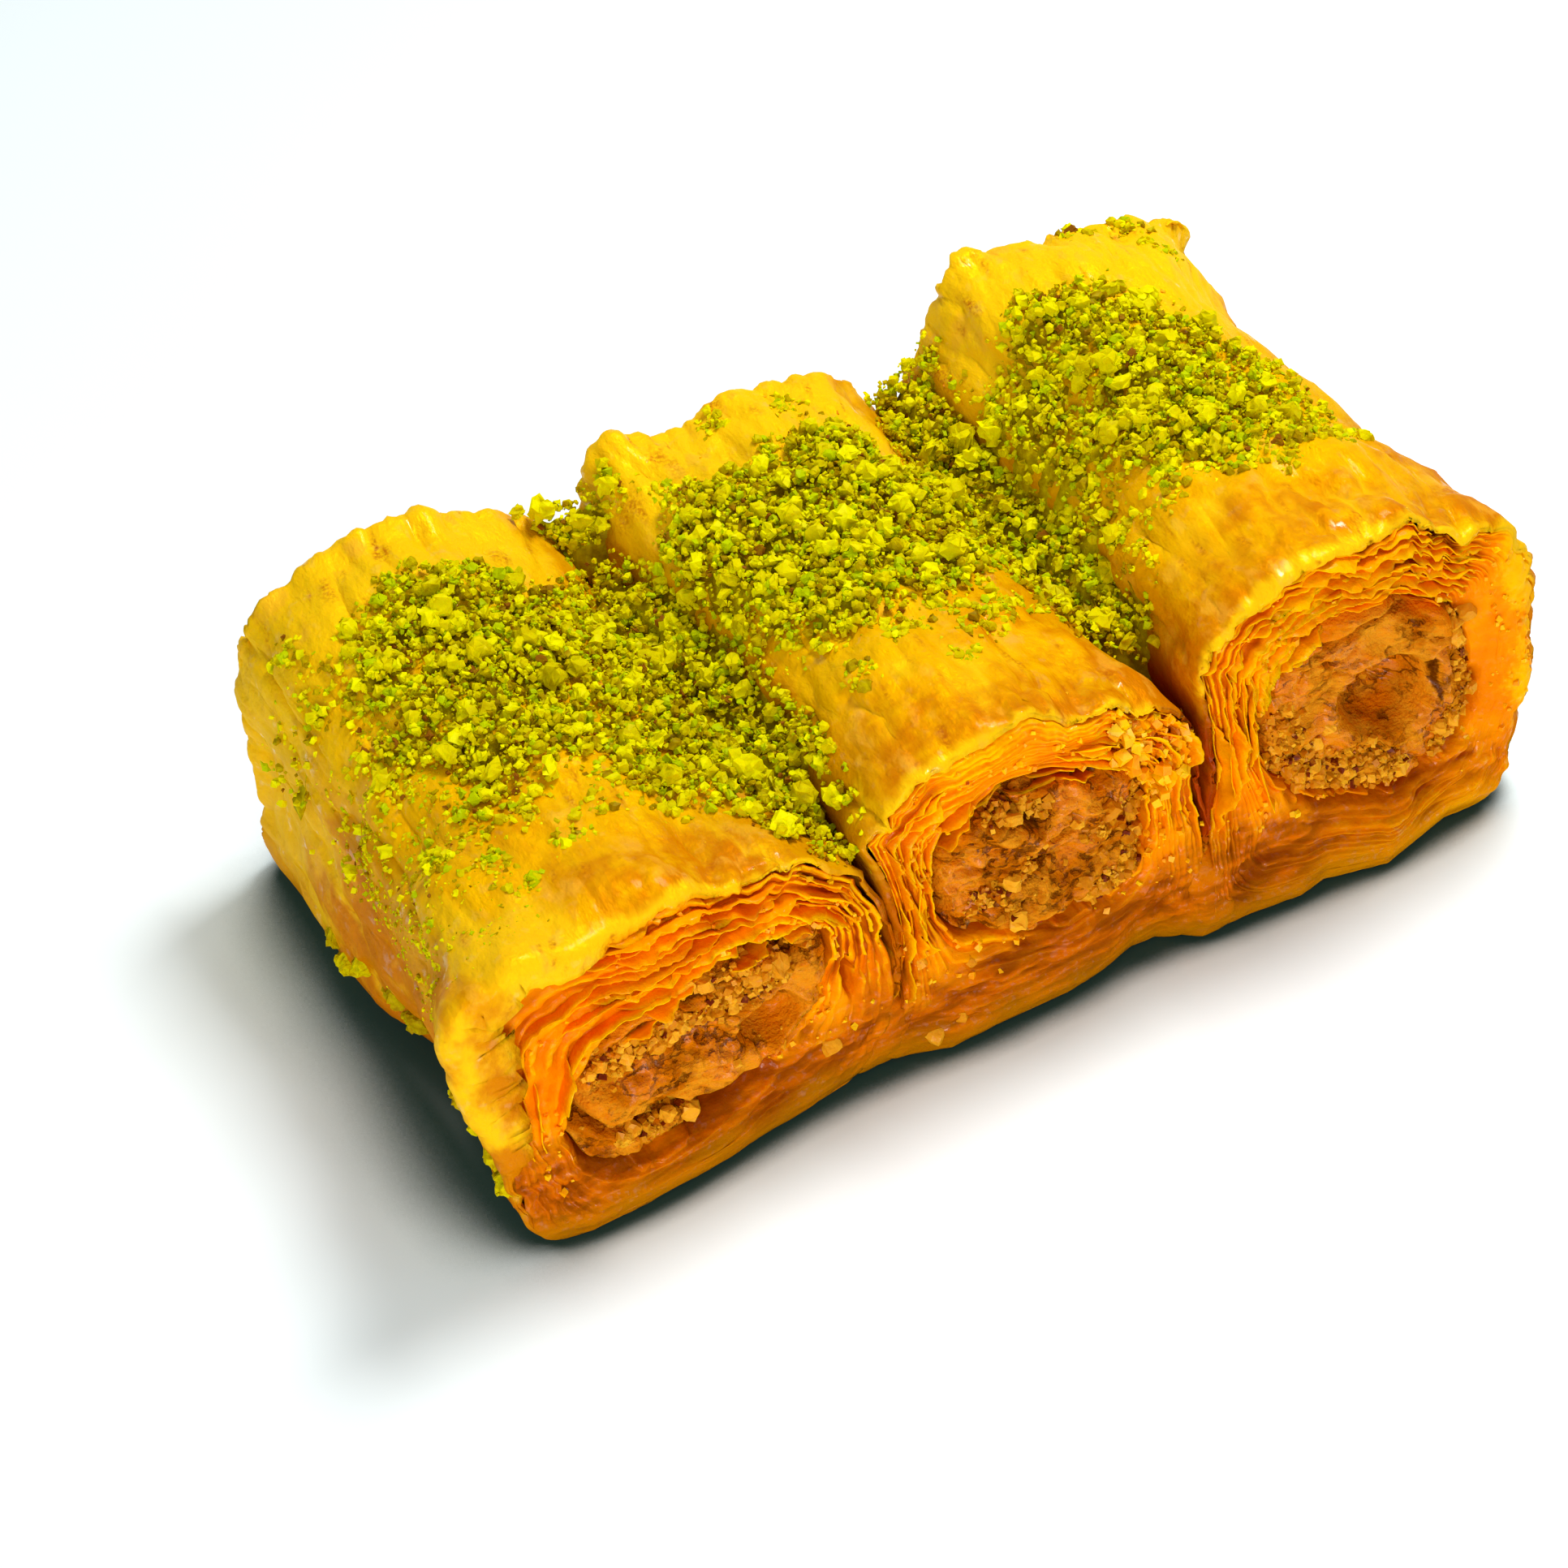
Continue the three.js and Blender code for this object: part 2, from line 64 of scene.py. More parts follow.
MM = 0.001  # metres in a millimetre
LENGTH = 43.5  # of a roll, from the front cut face to the back one
MIDDLE = np.array([41.6, 21.8, 0.0])  # the middle of the base, from the left foot of the front face
ROLL_HALF = 14.0  # half the width of one roll
GAP = 0.3  # between pieces that touch
BASE_ROUND = 2.2  # round of a roll's bottom edges
WAIST = 1.3  # how far a roll's upper half draws in halfway along it
SAG = 1.0  # how far its crown drops there
SOAKED_HEIGHT = 8.0  # how high the syrupy foot of a cut face reaches
SKIN_THICKNESS = 0.28  # of the outermost sheet
TIP_THICKNESS = 0.09  # of the same sheet at its torn edges
SKIN_ROWS = 128  # rings along a roll's skin, between its torn edges
FRONT_AROUND = 520  # points round a front cut face
BACK_AROUND = 320  # points round a back one
LOOSE_AROUND = 440  # points round a cut face, of which a loose sheet takes some
GROUND_CELLS = (196, 112)  # of the ground under the drift, along X and Y
DRIFT_CELL = 0.55  # mesh size of the drift's core
TURN = 6.283  # radians in a full turn
CONTACT_SHADOW = 5.0  # how far the dark of the table's contact shadow reaches
LEFT_SHADOW = 14.0  # the same on the left, away from the key lamp
TABLE_HALF = 1.2  # metres from the table's middle to its edge
TABLE_TOP = -0.0001  # metres; a hair below the pastry

Array = np.ndarray


# ---------------------------------------------------------------- numbers and fields


def smooth(values: Array | float, low: float, high: float) -> Array:
    """A soft step from 0 at `low` to 1 at `high`."""
    share = np.clip((np.asarray(values, float) - low) / (high - low), 0.0, 1.0)
    return share * share * (3.0 - 2.0 * share)


def blend(a: Array | float, b: Array | float, share: Array | float) -> Array:
    """The value at `share` of the way from `a` to `b`."""
    return np.asarray(a) + (np.asarray(b) - np.asarray(a)) * share


def lumps(x: Array, y: Array, z: Array, size: float) -> Array:
    """A smooth field of lumps from -1 to 1, which the frame's solids share.

    Args:
        x: Places along X.
        y: Places along Y.
        z: Heights.
        size: About how wide one lump is.

    Returns:
        One value for each place.
    """
    a, b, c = x / size, y / size, z / size
    return (
        np.sin(2.1 * a + 1.3 * np.sin(1.7 * c + b))
        + np.sin(2.4 * b + 1.1 * np.sin(1.9 * a - c))
        + np.sin(2.2 * c + 1.2 * np.sin(1.6 * b + a))
    ) / 3.0


@dataclass(frozen=True)
class RandomField:
    """A smooth random field in space, built from layers of value noise.

    Attributes:
        seed: Which field it is.
        size: Millimetres across one lump of the coarsest layer.
        layers: How many layers there are, each half the size and strength of the last.
    """

    seed: int
    size: float
    layers: int = 3

    @staticmethod
    def _corner(ix: Array, iy: Array, iz: Array, seed: int) -> Array:
        """A repeatable random number from -1 to 1 for each whole-numbered place.

        Args:
            ix: Whole numbers along X.
            iy: Whole numbers along Y.
            iz: Whole numbers along Z.
            seed: Which set of random numbers it is.

        Returns:
            One number for each place.
        """
        mask = 0xFFFFFFFF
        mixed = (ix * 374761393 + iy * 668265263 + iz * 1274126177 + seed * 974634777) & mask
        mixed = ((mixed ^ (mixed >> 13)) * 1274126177) & mask
        mixed = ((mixed ^ (mixed >> 15)) * 668265263) & mask
        return ((mixed ^ (mixed >> 16)) & 0xFFFF) / 32767.5 - 1.0

    def at(self, points: Array) -> Array:
        """The field's value, about -1 to 1, at each point.

        Args:
            points: Places in millimetres, with X, Y and Z along the last axis.

        Returns:
            One value for each point.
        """
        total = np.zeros(points.shape[:-1])
        strength = 1.0
        reach = 0.0
        size = self.size
        for layer in range(self.layers):
            scaled = points / size + 17.3 * (layer + 1)
            whole = np.floor(scaled).astype(np.int64)
            part = scaled - whole
            part = part * part * (3.0 - 2.0 * part)
            value = np.zeros(points.shape[:-1])
            for corner in range(8):
                dx, dy, dz = corner & 1, (corner >> 1) & 1, corner >> 2
                weight = (
                    (part[..., 0] if dx else 1.0 - part[..., 0])
                    * (part[..., 1] if dy else 1.0 - part[..., 1])
                    * (part[..., 2] if dz else 1.0 - part[..., 2])
                )
                value += weight * self._corner(
                    whole[..., 0] + dx, whole[..., 1] + dy, whole[..., 2] + dz, self.seed + 31 * layer
                )
            total += strength * value
            reach += strength
            strength *= 0.5
            size *= 0.5
        return total / reach * 1.5


def surface_normals(grid: Array) -> Array:
    """The outward unit normals of a surface given as rows of points round it.

    Args:
        grid: Points as (rows, around, 3), where each row closes on itself.

    Returns:
        Normals of the same shape as `grid`.
    """
    around = np.roll(grid, -1, axis=1) - np.roll(grid, 1, axis=1)
    along = np.gradient(grid, axis=0)
    normals = np.cross(around, along)
    return normals / np.maximum(np.linalg.norm(normals, axis=-1, keepdims=True), 1e-9)


def closed_curve(corners: Sequence[tuple[float, float]], count: int) -> Array:
    """Evenly spaced points on the smooth closed curve through the corners.

    Args:
        corners: The points (x, z) that the curve goes through.
        count: How many points to return.

    Returns:
        An array of (count, 2).
    """
    points = np.array(corners, float)
    dense: list[Array] = []
    for i in range(len(points)):
        p0, p1, p2, p3 = (points[(i + k) % len(points)] for k in (-1, 0, 1, 2))
        d0, d1, d2 = (math.sqrt(math.dist(a, b)) for a, b in ((p0, p1), (p1, p2), (p2, p3)))
        start = ((p1 - p0) / d0 - (p2 - p0) / (d0 + d1) + (p2 - p1) / d1) * d1
        end = ((p2 - p1) / d1 - (p3 - p1) / (d1 + d2) + (p3 - p2) / d2) * d1
        t = np.linspace(0.0, 1.0, 60, endpoint=False)[:, None]
        dense.append(
            p1
            + start * t
            + (-3 * p1 + 3 * p2 - 2 * start - end) * t**2
            + (2 * p1 - 2 * p2 + start + end) * t**3
        )
    path = np.concatenate(dense)
    path = np.vstack([path, path[:1]])
    length = np.concatenate([[0.0], np.cumsum(np.linalg.norm(np.diff(path, axis=0), axis=1))])
    wanted = np.linspace(0.0, length[-1], count, endpoint=False)
    curve = np.stack([np.interp(wanted, length, path[:, k]) for k in (0, 1)], axis=-1)
    curve[:, 1] = np.maximum(curve[:, 1], 0.0)
    return curve


# ---------------------------------------------------------------- meshes


def quads_of(rows: int, around: int, looped: bool) -> Array:
    """The faces over rows of closed rings, facing outwards.

    Args:
        rows: How many rings there are.
        around: How many points each ring has.
        looped: Whether the last ring joins the first.

    Returns:
        An array of four corner numbers for each face.
    """
    last = rows if looped else rows - 1
    j = np.arange(last)[:, None]
    i = np.arange(around)[None, :]
    following = (i + 1) % around
    beyond = (j + 1) % rows
    corners = [j * around + i, beyond * around + i, beyond * around + following, j * around + following]
    return np.stack(np.broadcast_arrays(*corners), -1).reshape(-1, 4)


@dataclass
class Surface:
    """Points and faces of one closed piece, in millimetres, with values painted on its points."""

    points: Array
    faces: list[Array]
    painted: dict[str, Array] = field(default_factory=dict)

    @classmethod
    def from_rings(cls, rows: Array, looped: bool, painted: dict[str, Array] | None = None) -> Surface:
        """The closed skin over rows of rings; unless looped, each end is closed by a point.

        Args:
            rows: Points as (rows, around, 3).
            looped: Whether the last ring joins the first.
            painted: Values for each point, as (rows, around).

        Returns:
            The surface.
        """
        count, around = rows.shape[:2]
        points = rows.reshape(-1, 3)
        faces = [quads_of(count, around, looped)]
        values = {name: array.reshape(-1) for name, array in (painted or {}).items()}
        if not looped:
            first, last = len(points), len(points) + 1
            points = np.vstack([points, rows[0].mean(0), rows[-1].mean(0)])
            i = np.arange(around)
            following = (i + 1) % around
            base = (count - 1) * around
            faces.append(np.stack([np.full(around, first), i, following], -1))
            faces.append(np.stack([np.full(around, last), base + following, base + i], -1))
            for name, array in (painted or {}).items():
                values[name] = np.concatenate([values[name], [array[0].mean(), array[-1].mean()]])
        return cls(points, faces, values)

    def joined(self, others: Sequence[Surface]) -> Surface:
        """This surface and others as one.

        Args:
            others: Surfaces with the same painted values.

        Returns:
            One surface with all their points and faces.
        """
        parts = [self, *others]
        offsets = np.cumsum([0] + [len(part.points) for part in parts])
        faces = [f + offset for part, offset in zip(parts, offsets) for f in part.faces]
        painted = {n: np.concatenate([part.painted[n] for part in parts]) for n in self.painted}
        return Surface(np.vstack([part.points for part in parts]), faces, painted)

    def to_object(self, name: str, material: bpy.types.Material, is_smooth: bool = True) -> bpy.types.Object:
        """The surface as a mesh object in the frame's axes, in metres.

        Args:
            name: The object's name.
            material: Its finish.
            is_smooth: Whether its faces are shaded smooth.

        Returns:
            The new object, linked to the scene.
        """
        mesh = bpy.data.meshes.new(name)
        place = (self.points - MIDDLE) * MM
        mesh.from_pydata(place.tolist(), [], [f for block in self.faces for f in block.tolist()])
        for key, values in self.painted.items():
            layer = mesh.attributes.new(key, "FLOAT", "POINT")
            layer.data.foreach_set("value", values.astype(np.float32))
        mesh.polygons.foreach_set("use_smooth", [is_smooth] * len(mesh.polygons))
        mesh.materials.append(material)
        mesh.update()
        made = bpy.data.objects.new(name, mesh)
        bpy.context.scene.collection.objects.link(made)
        return made


def finish_piece(piece: bpy.types.Object, slot: str, *nodes: str) -> bpy.types.Object:
    """Hands a piece to the frame: it rides on the root and stands for CAD nodes, which it hides.

    Args:
        piece: The finished mesh object.
        slot: The record's material slot; it is not used.
        *nodes: The CAD nodes that it stands for.

    Returns:
        The same object.
    """
    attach(piece, "root")
    if nodes:
        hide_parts(*nodes)
    LOG.info("%s: %d faces", piece.name, len(piece.data.polygons))
    return piece


# ---------------------------------------------------------------- node trees


class Wire:
    """A socket of a node tree that takes part in arithmetic."""

    def __init__(self, tree: Nodes, socket: bpy.types.NodeSocket) -> None:
        """Wraps a socket of `tree`."""
        self.tree = tree
        self.socket = socket

    def _math(self, operation: str, *values: Any) -> Wire:
        """The outcome of a Math node on the given values."""
        made = self.tree.add("ShaderNodeMath", {"operation": operation}, dict(enumerate(values)))
        return Wire(self.tree, made.outputs[0])

    def __add__(self, other: Any) -> Wire:
        """Sum."""
        return self._math("ADD", self, other)

    __radd__ = __add__

    def __sub__(self, other: Any) -> Wire:
        """Difference."""
        return self._math("SUBTRACT", self, other)

    def __rsub__(self, other: Any) -> Wire:
        """Difference, the other way round."""
        return self._math("SUBTRACT", other, self)

    def __mul__(self, other: Any) -> Wire:
        """Product."""
        return self._math("MULTIPLY", self, other)

    def held(self) -> Wire:
        """The value kept between 0 and 1."""
        made = self.tree.add("ShaderNodeClamp", {}, {0: self})
        return Wire(self.tree, made.outputs[0])

    def step(self, low: float, high: float) -> Wire:
        """A soft step from 0 at `low` to 1 at `high`."""
        made = self.tree.add(
            "ShaderNodeMapRange", {"interpolation_type": "SMOOTHSTEP"}, {0: self, 1: low, 2: high}
        )
        return Wire(self.tree, made.outputs[0])


class Nodes:
    """Adds nodes to a shader or geometry tree."""

    def __init__(self, tree: bpy.types.NodeTree) -> None:
        """Takes the tree and empties it."""
        self.tree = tree
        tree.nodes.clear()

    def add(self, kind: str, settings: dict[str, Any], sockets: dict[int | str, Any]) -> bpy.types.Node:
        """Makes a node, with its settings first and then its sockets.

        Args:
            kind: The node's type.
            settings: Attributes of the node, such as its operation.
            sockets: A value, a Wire or another node's output for each input, by number or name.

        Returns:
            The new node.
        """
        node = self.tree.nodes.new(kind)
        for key, value in settings.items():
            setattr(node, key, value)
        for key, value in sockets.items():
            target = node.inputs[key]
            if isinstance(value, Wire):
                self.tree.links.new(value.socket, target)
            elif isinstance(value, bpy.types.NodeSocket):
                self.tree.links.new(value, target)
            else:
                target.default_value = value
        return node

    def value(self, node: bpy.types.Node, output: int | str = 0) -> Wire:
        """An output of a node, ready for arithmetic."""
        return Wire(self, node.outputs[output])

    def painted(self, name: str) -> Wire:
        """A value painted on the mesh."""
        return self.value(self.add("ShaderNodeAttribute", {"attribute_name": name}, {}), "Fac")

    def vector(self, operation: str, *values: Any) -> bpy.types.NodeSocket:
        """The outcome of a Vector Math node on the given values."""
        made = self.add("ShaderNodeVectorMath", {"operation": operation}, dict(enumerate(values)))
        return made.outputs[0]

    def noise(
        self,
        place: Any,
        per_mm: float,
        detail: float = 2.0,
        stretch: tuple[float, float, float] = (1.0, 1.0, 1.0),
    ) -> Wire:
        """Noise from 0 to 1 with features of about 1 / `per_mm` millimetres.

        Args:
            place: The coordinates' socket.
            per_mm: How many features there are in a millimetre.
            detail: How many finer layers it has.
            stretch: How much finer it is along each axis.

        Returns:
            The noise.
        """
        mapping = self.add("ShaderNodeMapping", {}, {"Vector": place, "Scale": stretch})
        made = self.add(
            "ShaderNodeTexNoise",
            {},
            {"Vector": mapping.outputs[0], "Scale": per_mm / MM, "Detail": detail, "Roughness": 0.55},
        )
        return self.value(made, 0)

    def mix(self, share: Any, a: Any, b: Any) -> bpy.types.NodeSocket:
        """A colour between two.

        Args:
            share: How much of `b` there is.
            a: A colour or a colour socket.
            b: A colour or a colour socket.

        Returns:
            The mixed colour's socket.
        """
        sockets = {0: share, 6: a, 7: b}
        return self.add("ShaderNodeMix", {"data_type": "RGBA"}, sockets).outputs[2]


Colour = tuple[float, float, float, float]


def shade(red: float, green: float, blue: float) -> Colour:
    """A colour in linear light."""
    return (red, green, blue, 1.0)


# ---------------------------------------------------------------- finishes


@dataclass(frozen=True)
class Finish:
    """What all the finishes share: a damp, slightly see-through food surface.

    Attributes:
        name: The material's name.
        depth: How far light travels inside, as metres for red, with less for green and blue.
        glow: How much of the light travels inside.
        syrup: How much of a clear wet coat there is.
        syrup_roughness: How dull that coat is.
        golden: How much of the light is sent back in the surface's own colour.
        spread: How far red, green and blue light travel inside, against each other.
    """

    name: str
    depth: float
    glow: float
    syrup: float
    syrup_roughness: float
    golden: float = 0.0
    spread: tuple[float, float, float] = (1.0, 0.42, 0.1)

    def _start(self) -> tuple[bpy.types.Material, Nodes, bpy.types.Node, bpy.types.NodeSocket]:
        """A new material with its shader and its object coordinates.

        Returns:
            The material, its nodes, its Principled shader and the coordinates' socket.
        """
        material = bpy.data.materials.new(self.name)
        material.use_nodes = True
        nodes = Nodes(material.node_tree)
        place = nodes.add("ShaderNodeTexCoord", {}, {}).outputs["Object"]
        shader = nodes.add(
            "ShaderNodeBsdfPrincipled",
            {"subsurface_method": "RANDOM_WALK"},
            {
                "Subsurface Weight": self.glow,
                "Subsurface Radius": self.spread,
                "Subsurface Scale": self.depth,
                "Coat Weight": self.syrup,
                "Coat Roughness": self.syrup_roughness,
                "Specular IOR Level": 0.0,
                "Metallic": self.golden,
                "IOR": 1.45,
            },
        )
        nodes.add("ShaderNodeOutputMaterial", {}, {"Surface": shader.outputs[0]})
        return material, nodes, shader, place

    @staticmethod
    def _dress(
        nodes: Nodes, shader: bpy.types.Node, colour: Any, roughness: Wire, relief: Wire, height: float
    ) -> None:
        """Feeds colour, roughness and relief to the shader.

        Args:
            nodes: The material's nodes.
            shader: Its Principled shader.
            colour: The base colour's socket.
            roughness: The roughness as a wire.
            relief: The relief from 0 to 1.
            height: The relief's height in millimetres.
        """
        bump = nodes.add("ShaderNodeBump", {}, {"Strength": 1.0, "Distance": height * MM, "Height": relief})
        links = nodes.tree.links
        links.new(colour, shader.inputs["Base Color"])
        links.new(roughness.socket, shader.inputs["Roughness"])
        links.new(bump.outputs[0], shader.inputs["Normal"])


@dataclass(frozen=True)
class SkinFinish(Finish):
    """The outermost sheet of a roll: golden yellow, orange where it is thin or soaked, glazed, with painted
    shade and painted highlights.

    Attributes:
        yellow: The baked sheet's own colour.
        orange: Where it is thin, in patches and streaks, and as painted shade on its shaded sides, by the
            seams and in the pleats' valleys.
        pale: In random streaks, towards the back, and as painted highlights on its crests, torn tips, front
            upper edge and front left corner.
        soaked: At its foot, where it lies in syrup.
        dusted: Round the drift, where pistachio dust lies on it.
        toasted: In scorched specks and along its back edge.
        crevice: Painted shade, dark red, down in the seams between the rolls.
        veil: Where it has come away from the sheet below it.
    """

    yellow: Colour = shade(0.85, 0.402, 0.0)
    orange: Colour = shade(0.6, 0.178, 0.0)
    pale: Colour = shade(1.0, 0.575, 0.004)
    soaked: Colour = shade(0.52, 0.12, 0.0)
    dusted: Colour = shade(0.76, 0.47, 0.0)
    toasted: Colour = shade(0.42, 0.08, 0.002)
    crevice: Colour = shade(0.32, 0.02, 0.0)
    veil: Colour = shade(0.88, 0.4, 0.025)

    def material(self) -> bpy.types.Material:
        """The finish as a material.

        Returns:
            The new material.
        """
        material, nodes, shader, place = self._start()
        patches = nodes.noise(place, 0.13, 3.0)
        streaks = nodes.noise(place, 0.35, 4.0, (1.0, 0.35, 0.6))
        blotches = nodes.noise(place, 0.6, 4.0)
        crinkle = nodes.noise(place, 1.0, 3.0, (1.0, 0.6, 0.7))
        grain = nodes.noise(place, 3.2, 2.0)
        # Painted shade: this painted value is partly shade, high on the sides facing away from the key lamp,
        # by the seams and in the pleats' valleys.
        warm = nodes.painted("warm")
        soaked = nodes.painted("soaked")
        orange = (patches * 0.8 + streaks * 0.6 + blotches * 0.9 + warm * 0.6 - 1.2).step(0.0, 0.55)
        colour = nodes.mix(orange, self.yellow, self.orange)
        # Painted highlight: the crests, torn tips, front upper edge and front left corner are painted paler;
        # random streaks and the back are paler too.
        crest = nodes.painted("crest")
        pale = (streaks * 1.2 + blotches * 0.5 + crest * 0.35 + nodes.painted("pale") - 0.9).step(0.05, 0.5)
        colour = nodes.mix(pale * 0.75, colour, self.pale)
        thin = nodes.noise(place, 0.45, 4.0, (1.0, 0.6, 0.8)).step(0.57, 0.68)
        colour = nodes.mix(thin * (1.0 - soaked).held() * 0.5, colour, self.veil)
        dust = (nodes.painted("dusted") + (grain + blotches - 1.0) * 0.6).step(0.15, 0.9)
        colour = nodes.mix(dust * 0.3, colour, self.dusted)
        colour = nodes.mix(nodes.painted("toasted") * grain.step(0.3, 0.7), colour, self.toasted)
        colour = nodes.mix((soaked * 0.85).held(), colour, self.soaked)
        # Painted shade: dark red down in the seams between the rolls.
        colour = nodes.mix(nodes.painted("crevice"), colour, self.crevice)
        roughness = 0.26 + patches * 0.25 + grain * 0.15
        relief = crinkle * 0.9 + grain * 0.1
        drops = (nodes.noise(place, 0.7, 4.0) + crinkle * 0.3).step(0.74, 0.84)
        nodes.tree.links.new((drops * 0.6 + 0.06).socket, shader.inputs["Coat Weight"])
        self._dress(nodes, shader, colour, roughness, relief, 0.36)
        return material


@dataclass(frozen=True)
class SheetFinish(Finish):
    """The cut edges of many sheets: bright at the edge, with painted light on the proudest edges and painted
    shade, deep red-orange, in the gaps.

    Attributes:
        edge: The sheets' edges.
        lit: Painted light on the edges that stand out furthest.
        gap: Painted shade in the gaps between the sheets, and in slots and cracks.
        deep: Patches of redder edges.
        soaked: The hollows of the syrupy foot.
        foot: The lowest rim.
        damp: The crests of the syrupy foot.
        dried: The lowest rim at the right, where less syrup stands.
    """

    edge: Colour = shade(1.0, 0.31, 0.0)
    lit: Colour = shade(1.0, 0.5, 0.0)
    gap: Colour = shade(0.34, 0.035, 0.0)
    deep: Colour = shade(0.82, 0.16, 0.0)
    soaked: Colour = shade(0.2, 0.03, 0.0)
    foot: Colour = shade(0.46, 0.16, 0.0)
    damp: Colour = shade(0.55, 0.1, 0.0)
    dried: Colour = shade(0.86, 0.33, 0.0)

    def material(self) -> bpy.types.Material:
        """The finish as a material.

        Returns:
            The new material.
        """
        material, nodes, shader, place = self._start()
        patches = nodes.noise(place, 0.25, 3.0)
        fibres = nodes.noise(place, 0.8, 4.0, (0.35, 1.0, 1.9))
        grain = nodes.noise(place, 2.2, 3.0)
        lift = nodes.painted("lift")
        # Painted light and shade: low lift, in gaps, slots and cracks, takes the gap colour; the highest
        # takes the lit colour.
        colour = nodes.mix(lift.step(0.02, 0.5), self.gap, self.edge)
        colour = nodes.mix(patches.step(0.35, 0.65) * 0.7, colour, self.deep)
        colour = nodes.mix((lift + (grain - 0.5) * 0.5).step(0.6, 1.0) * 0.8, colour, self.lit)
        soaked = (nodes.painted("soaked") + (patches - 0.5) * 0.5).held()
        wet = nodes.mix((fibres + (lift - 0.5) * 0.6).step(0.3, 0.75), self.soaked, self.damp)
        across = nodes.value(nodes.add("ShaderNodeSeparateXYZ", {}, {0: place}), "X")
        dried = (across + (patches - 0.5) * 0.012).step(0.018, 0.038)
        colour = nodes.mix(soaked * (0.9 - dried * 0.45), colour, wet)
        foot = nodes.mix(dried * 0.8, self.foot, self.dried)
        colour = nodes.mix((nodes.painted("foot") + (patches - 0.5) * 0.8).held() * 0.8, colour, foot)
        drops = (grain + fibres * 0.5).step(0.8, 0.95)
        nodes.tree.links.new((drops * (soaked * 0.6 + 0.2) + 0.03).socket, shader.inputs["Coat Weight"])
        roughness = 0.45 + patches * 0.14 - soaked * 0.16
        self._dress(nodes, shader, colour, roughness, fibres * 0.6 + grain * 0.4, 0.24)
        return material


@dataclass(frozen=True)
class FillingFinish(Finish):
    """Folded pastry soaked through with nuts: beige to brown, with dark red seams and painted shade in its
    creases and under its hollows' rims.

    Attributes:
        beige: The folded pastry.
        brown: Pastry that has soaked up more.
        amber: Where syrup glazes it, and as painted light on the lower floors of its hollows.
        crease: Its seams, and painted shade in its creases, pits and grooves and under its hollows' rims.
    """

    beige: Colour = shade(0.73, 0.265, 0.008)
    brown: Colour = shade(0.4, 0.09, 0.0)
    amber: Colour = shade(0.8, 0.2, 0.0)
    crease: Colour = shade(0.13, 0.028, 0.0)

    def material(self) -> bpy.types.Material:
        """The finish as a material.

        Returns:
            The new material.
        """
        material, nodes, shader, place = self._start()
        patches = nodes.noise(place, 0.3, 3.0)
        fibres = nodes.noise(place, 1.4, 4.0, (0.6, 1.0, 1.6))
        grain = nodes.noise(place, 4.0, 2.0)
        lift = nodes.painted("lift")
        colour = nodes.mix((patches * 0.75 + fibres * 0.25).step(0.42, 0.6), self.beige, self.brown)
        glazed = nodes.noise(place, 0.22, 2.0).step(0.46, 0.6)
        colour = nodes.mix((fibres.step(0.5, 0.72) * 0.5 + glazed * 0.5).held(), colour, self.amber)
        # Painted light: high lift paints the hollows' lower floors, and the soaked rim, in the amber colour.
        colour = nodes.mix(lift.step(0.9, 1.25) * 0.8, colour, self.amber)
        turned = nodes.noise(place, 0.45, 5.0, (1.0, 1.0, 1.7)) - 0.5
        seams = 1.0 - (turned * turned).step(0.0, 0.0016)
        seams = seams * patches.step(0.35, 0.6) * (1.0 - lift.step(0.9, 1.1))
        colour = nodes.mix(seams * 0.75, colour, self.crease)
        # Painted shade: low lift, in grooves, pits, the crack round the rim and under the hollows' rims,
        # takes the crease colour.
        colour = nodes.mix(1.0 - (lift + (grain - 0.5) * 0.4).step(0.05, 0.45), colour, self.crease)
        wet = (grain + glazed * 0.4).step(0.6, 0.9)
        nodes.tree.links.new((wet * 0.28 + 0.03).socket, shader.inputs["Coat Weight"])
        roughness = 0.38 + fibres * 0.2
        self._dress(nodes, shader, colour, roughness, fibres * 0.6 + grain * 0.4 - seams * 0.5, 0.45)
        return material


@dataclass(frozen=True)
class CrumbFinish(Finish):
    """Crumbs: each takes a tone of its own from the value painted on it.

    Attributes:
        dark: The colour of the darkest.
        middle: The colour of most.
        bright: The colour of the brightest.
        skin: The colour of bits of the nut's skin.
        fresh: The colour of the greenest.
        skin_share: How many are bits of skin, as a share.
        fresh_share: How many are of the greenest, as a share.
    """

    dark: Colour = shade(0.27, 0.145, 0.0)
    middle: Colour = shade(0.68, 0.57, 0.0)
    bright: Colour = shade(0.87, 0.82, 0.0)
    skin: Colour = shade(0.24, 0.08, 0.004)
    fresh: Colour = shade(0.46, 0.53, 0.0)
    skin_share: float = 0.02
    fresh_share: float = 0.18

    def material(self) -> bpy.types.Material:
        """The finish as a material.

        Returns:
            The new material.
        """
        material, nodes, shader, place = self._start()
        tone = nodes.painted("tone")
        grain = nodes.noise(place, 1.8, 3.0)
        colour = nodes.mix((tone + grain * 0.5).step(0.15, 0.7), self.dark, self.middle)
        colour = nodes.mix((tone + grain * 0.5).step(0.65, 1.25), colour, self.bright)
        skin = 1.0 - tone.step(self.skin_share, self.skin_share + 0.01)
        colour = nodes.mix(skin * grain.step(0.3, 0.5), colour, self.skin)
        fresh = tone.step(1.0 - self.fresh_share, 1.001 - self.fresh_share)
        colour = nodes.mix(fresh, colour, self.fresh)
        roughness = 0.5 + grain * 0.2
        self._dress(nodes, shader, colour, roughness, grain, 0.12)
        return material


# ---------------------------------------------------------------- rolls


class Side(Enum):
    """Which cut face of a roll: its place along Y and the way it faces."""

    FRONT = (0.0, -1.0)
    BACK = (LENGTH, 1.0)

    @property
    def y(self) -> float:
        """The cut face's place along Y."""
        return self.value[0]

    @property
    def sign(self) -> float:
        """The way the cut face looks along Y."""
        return self.value[1]


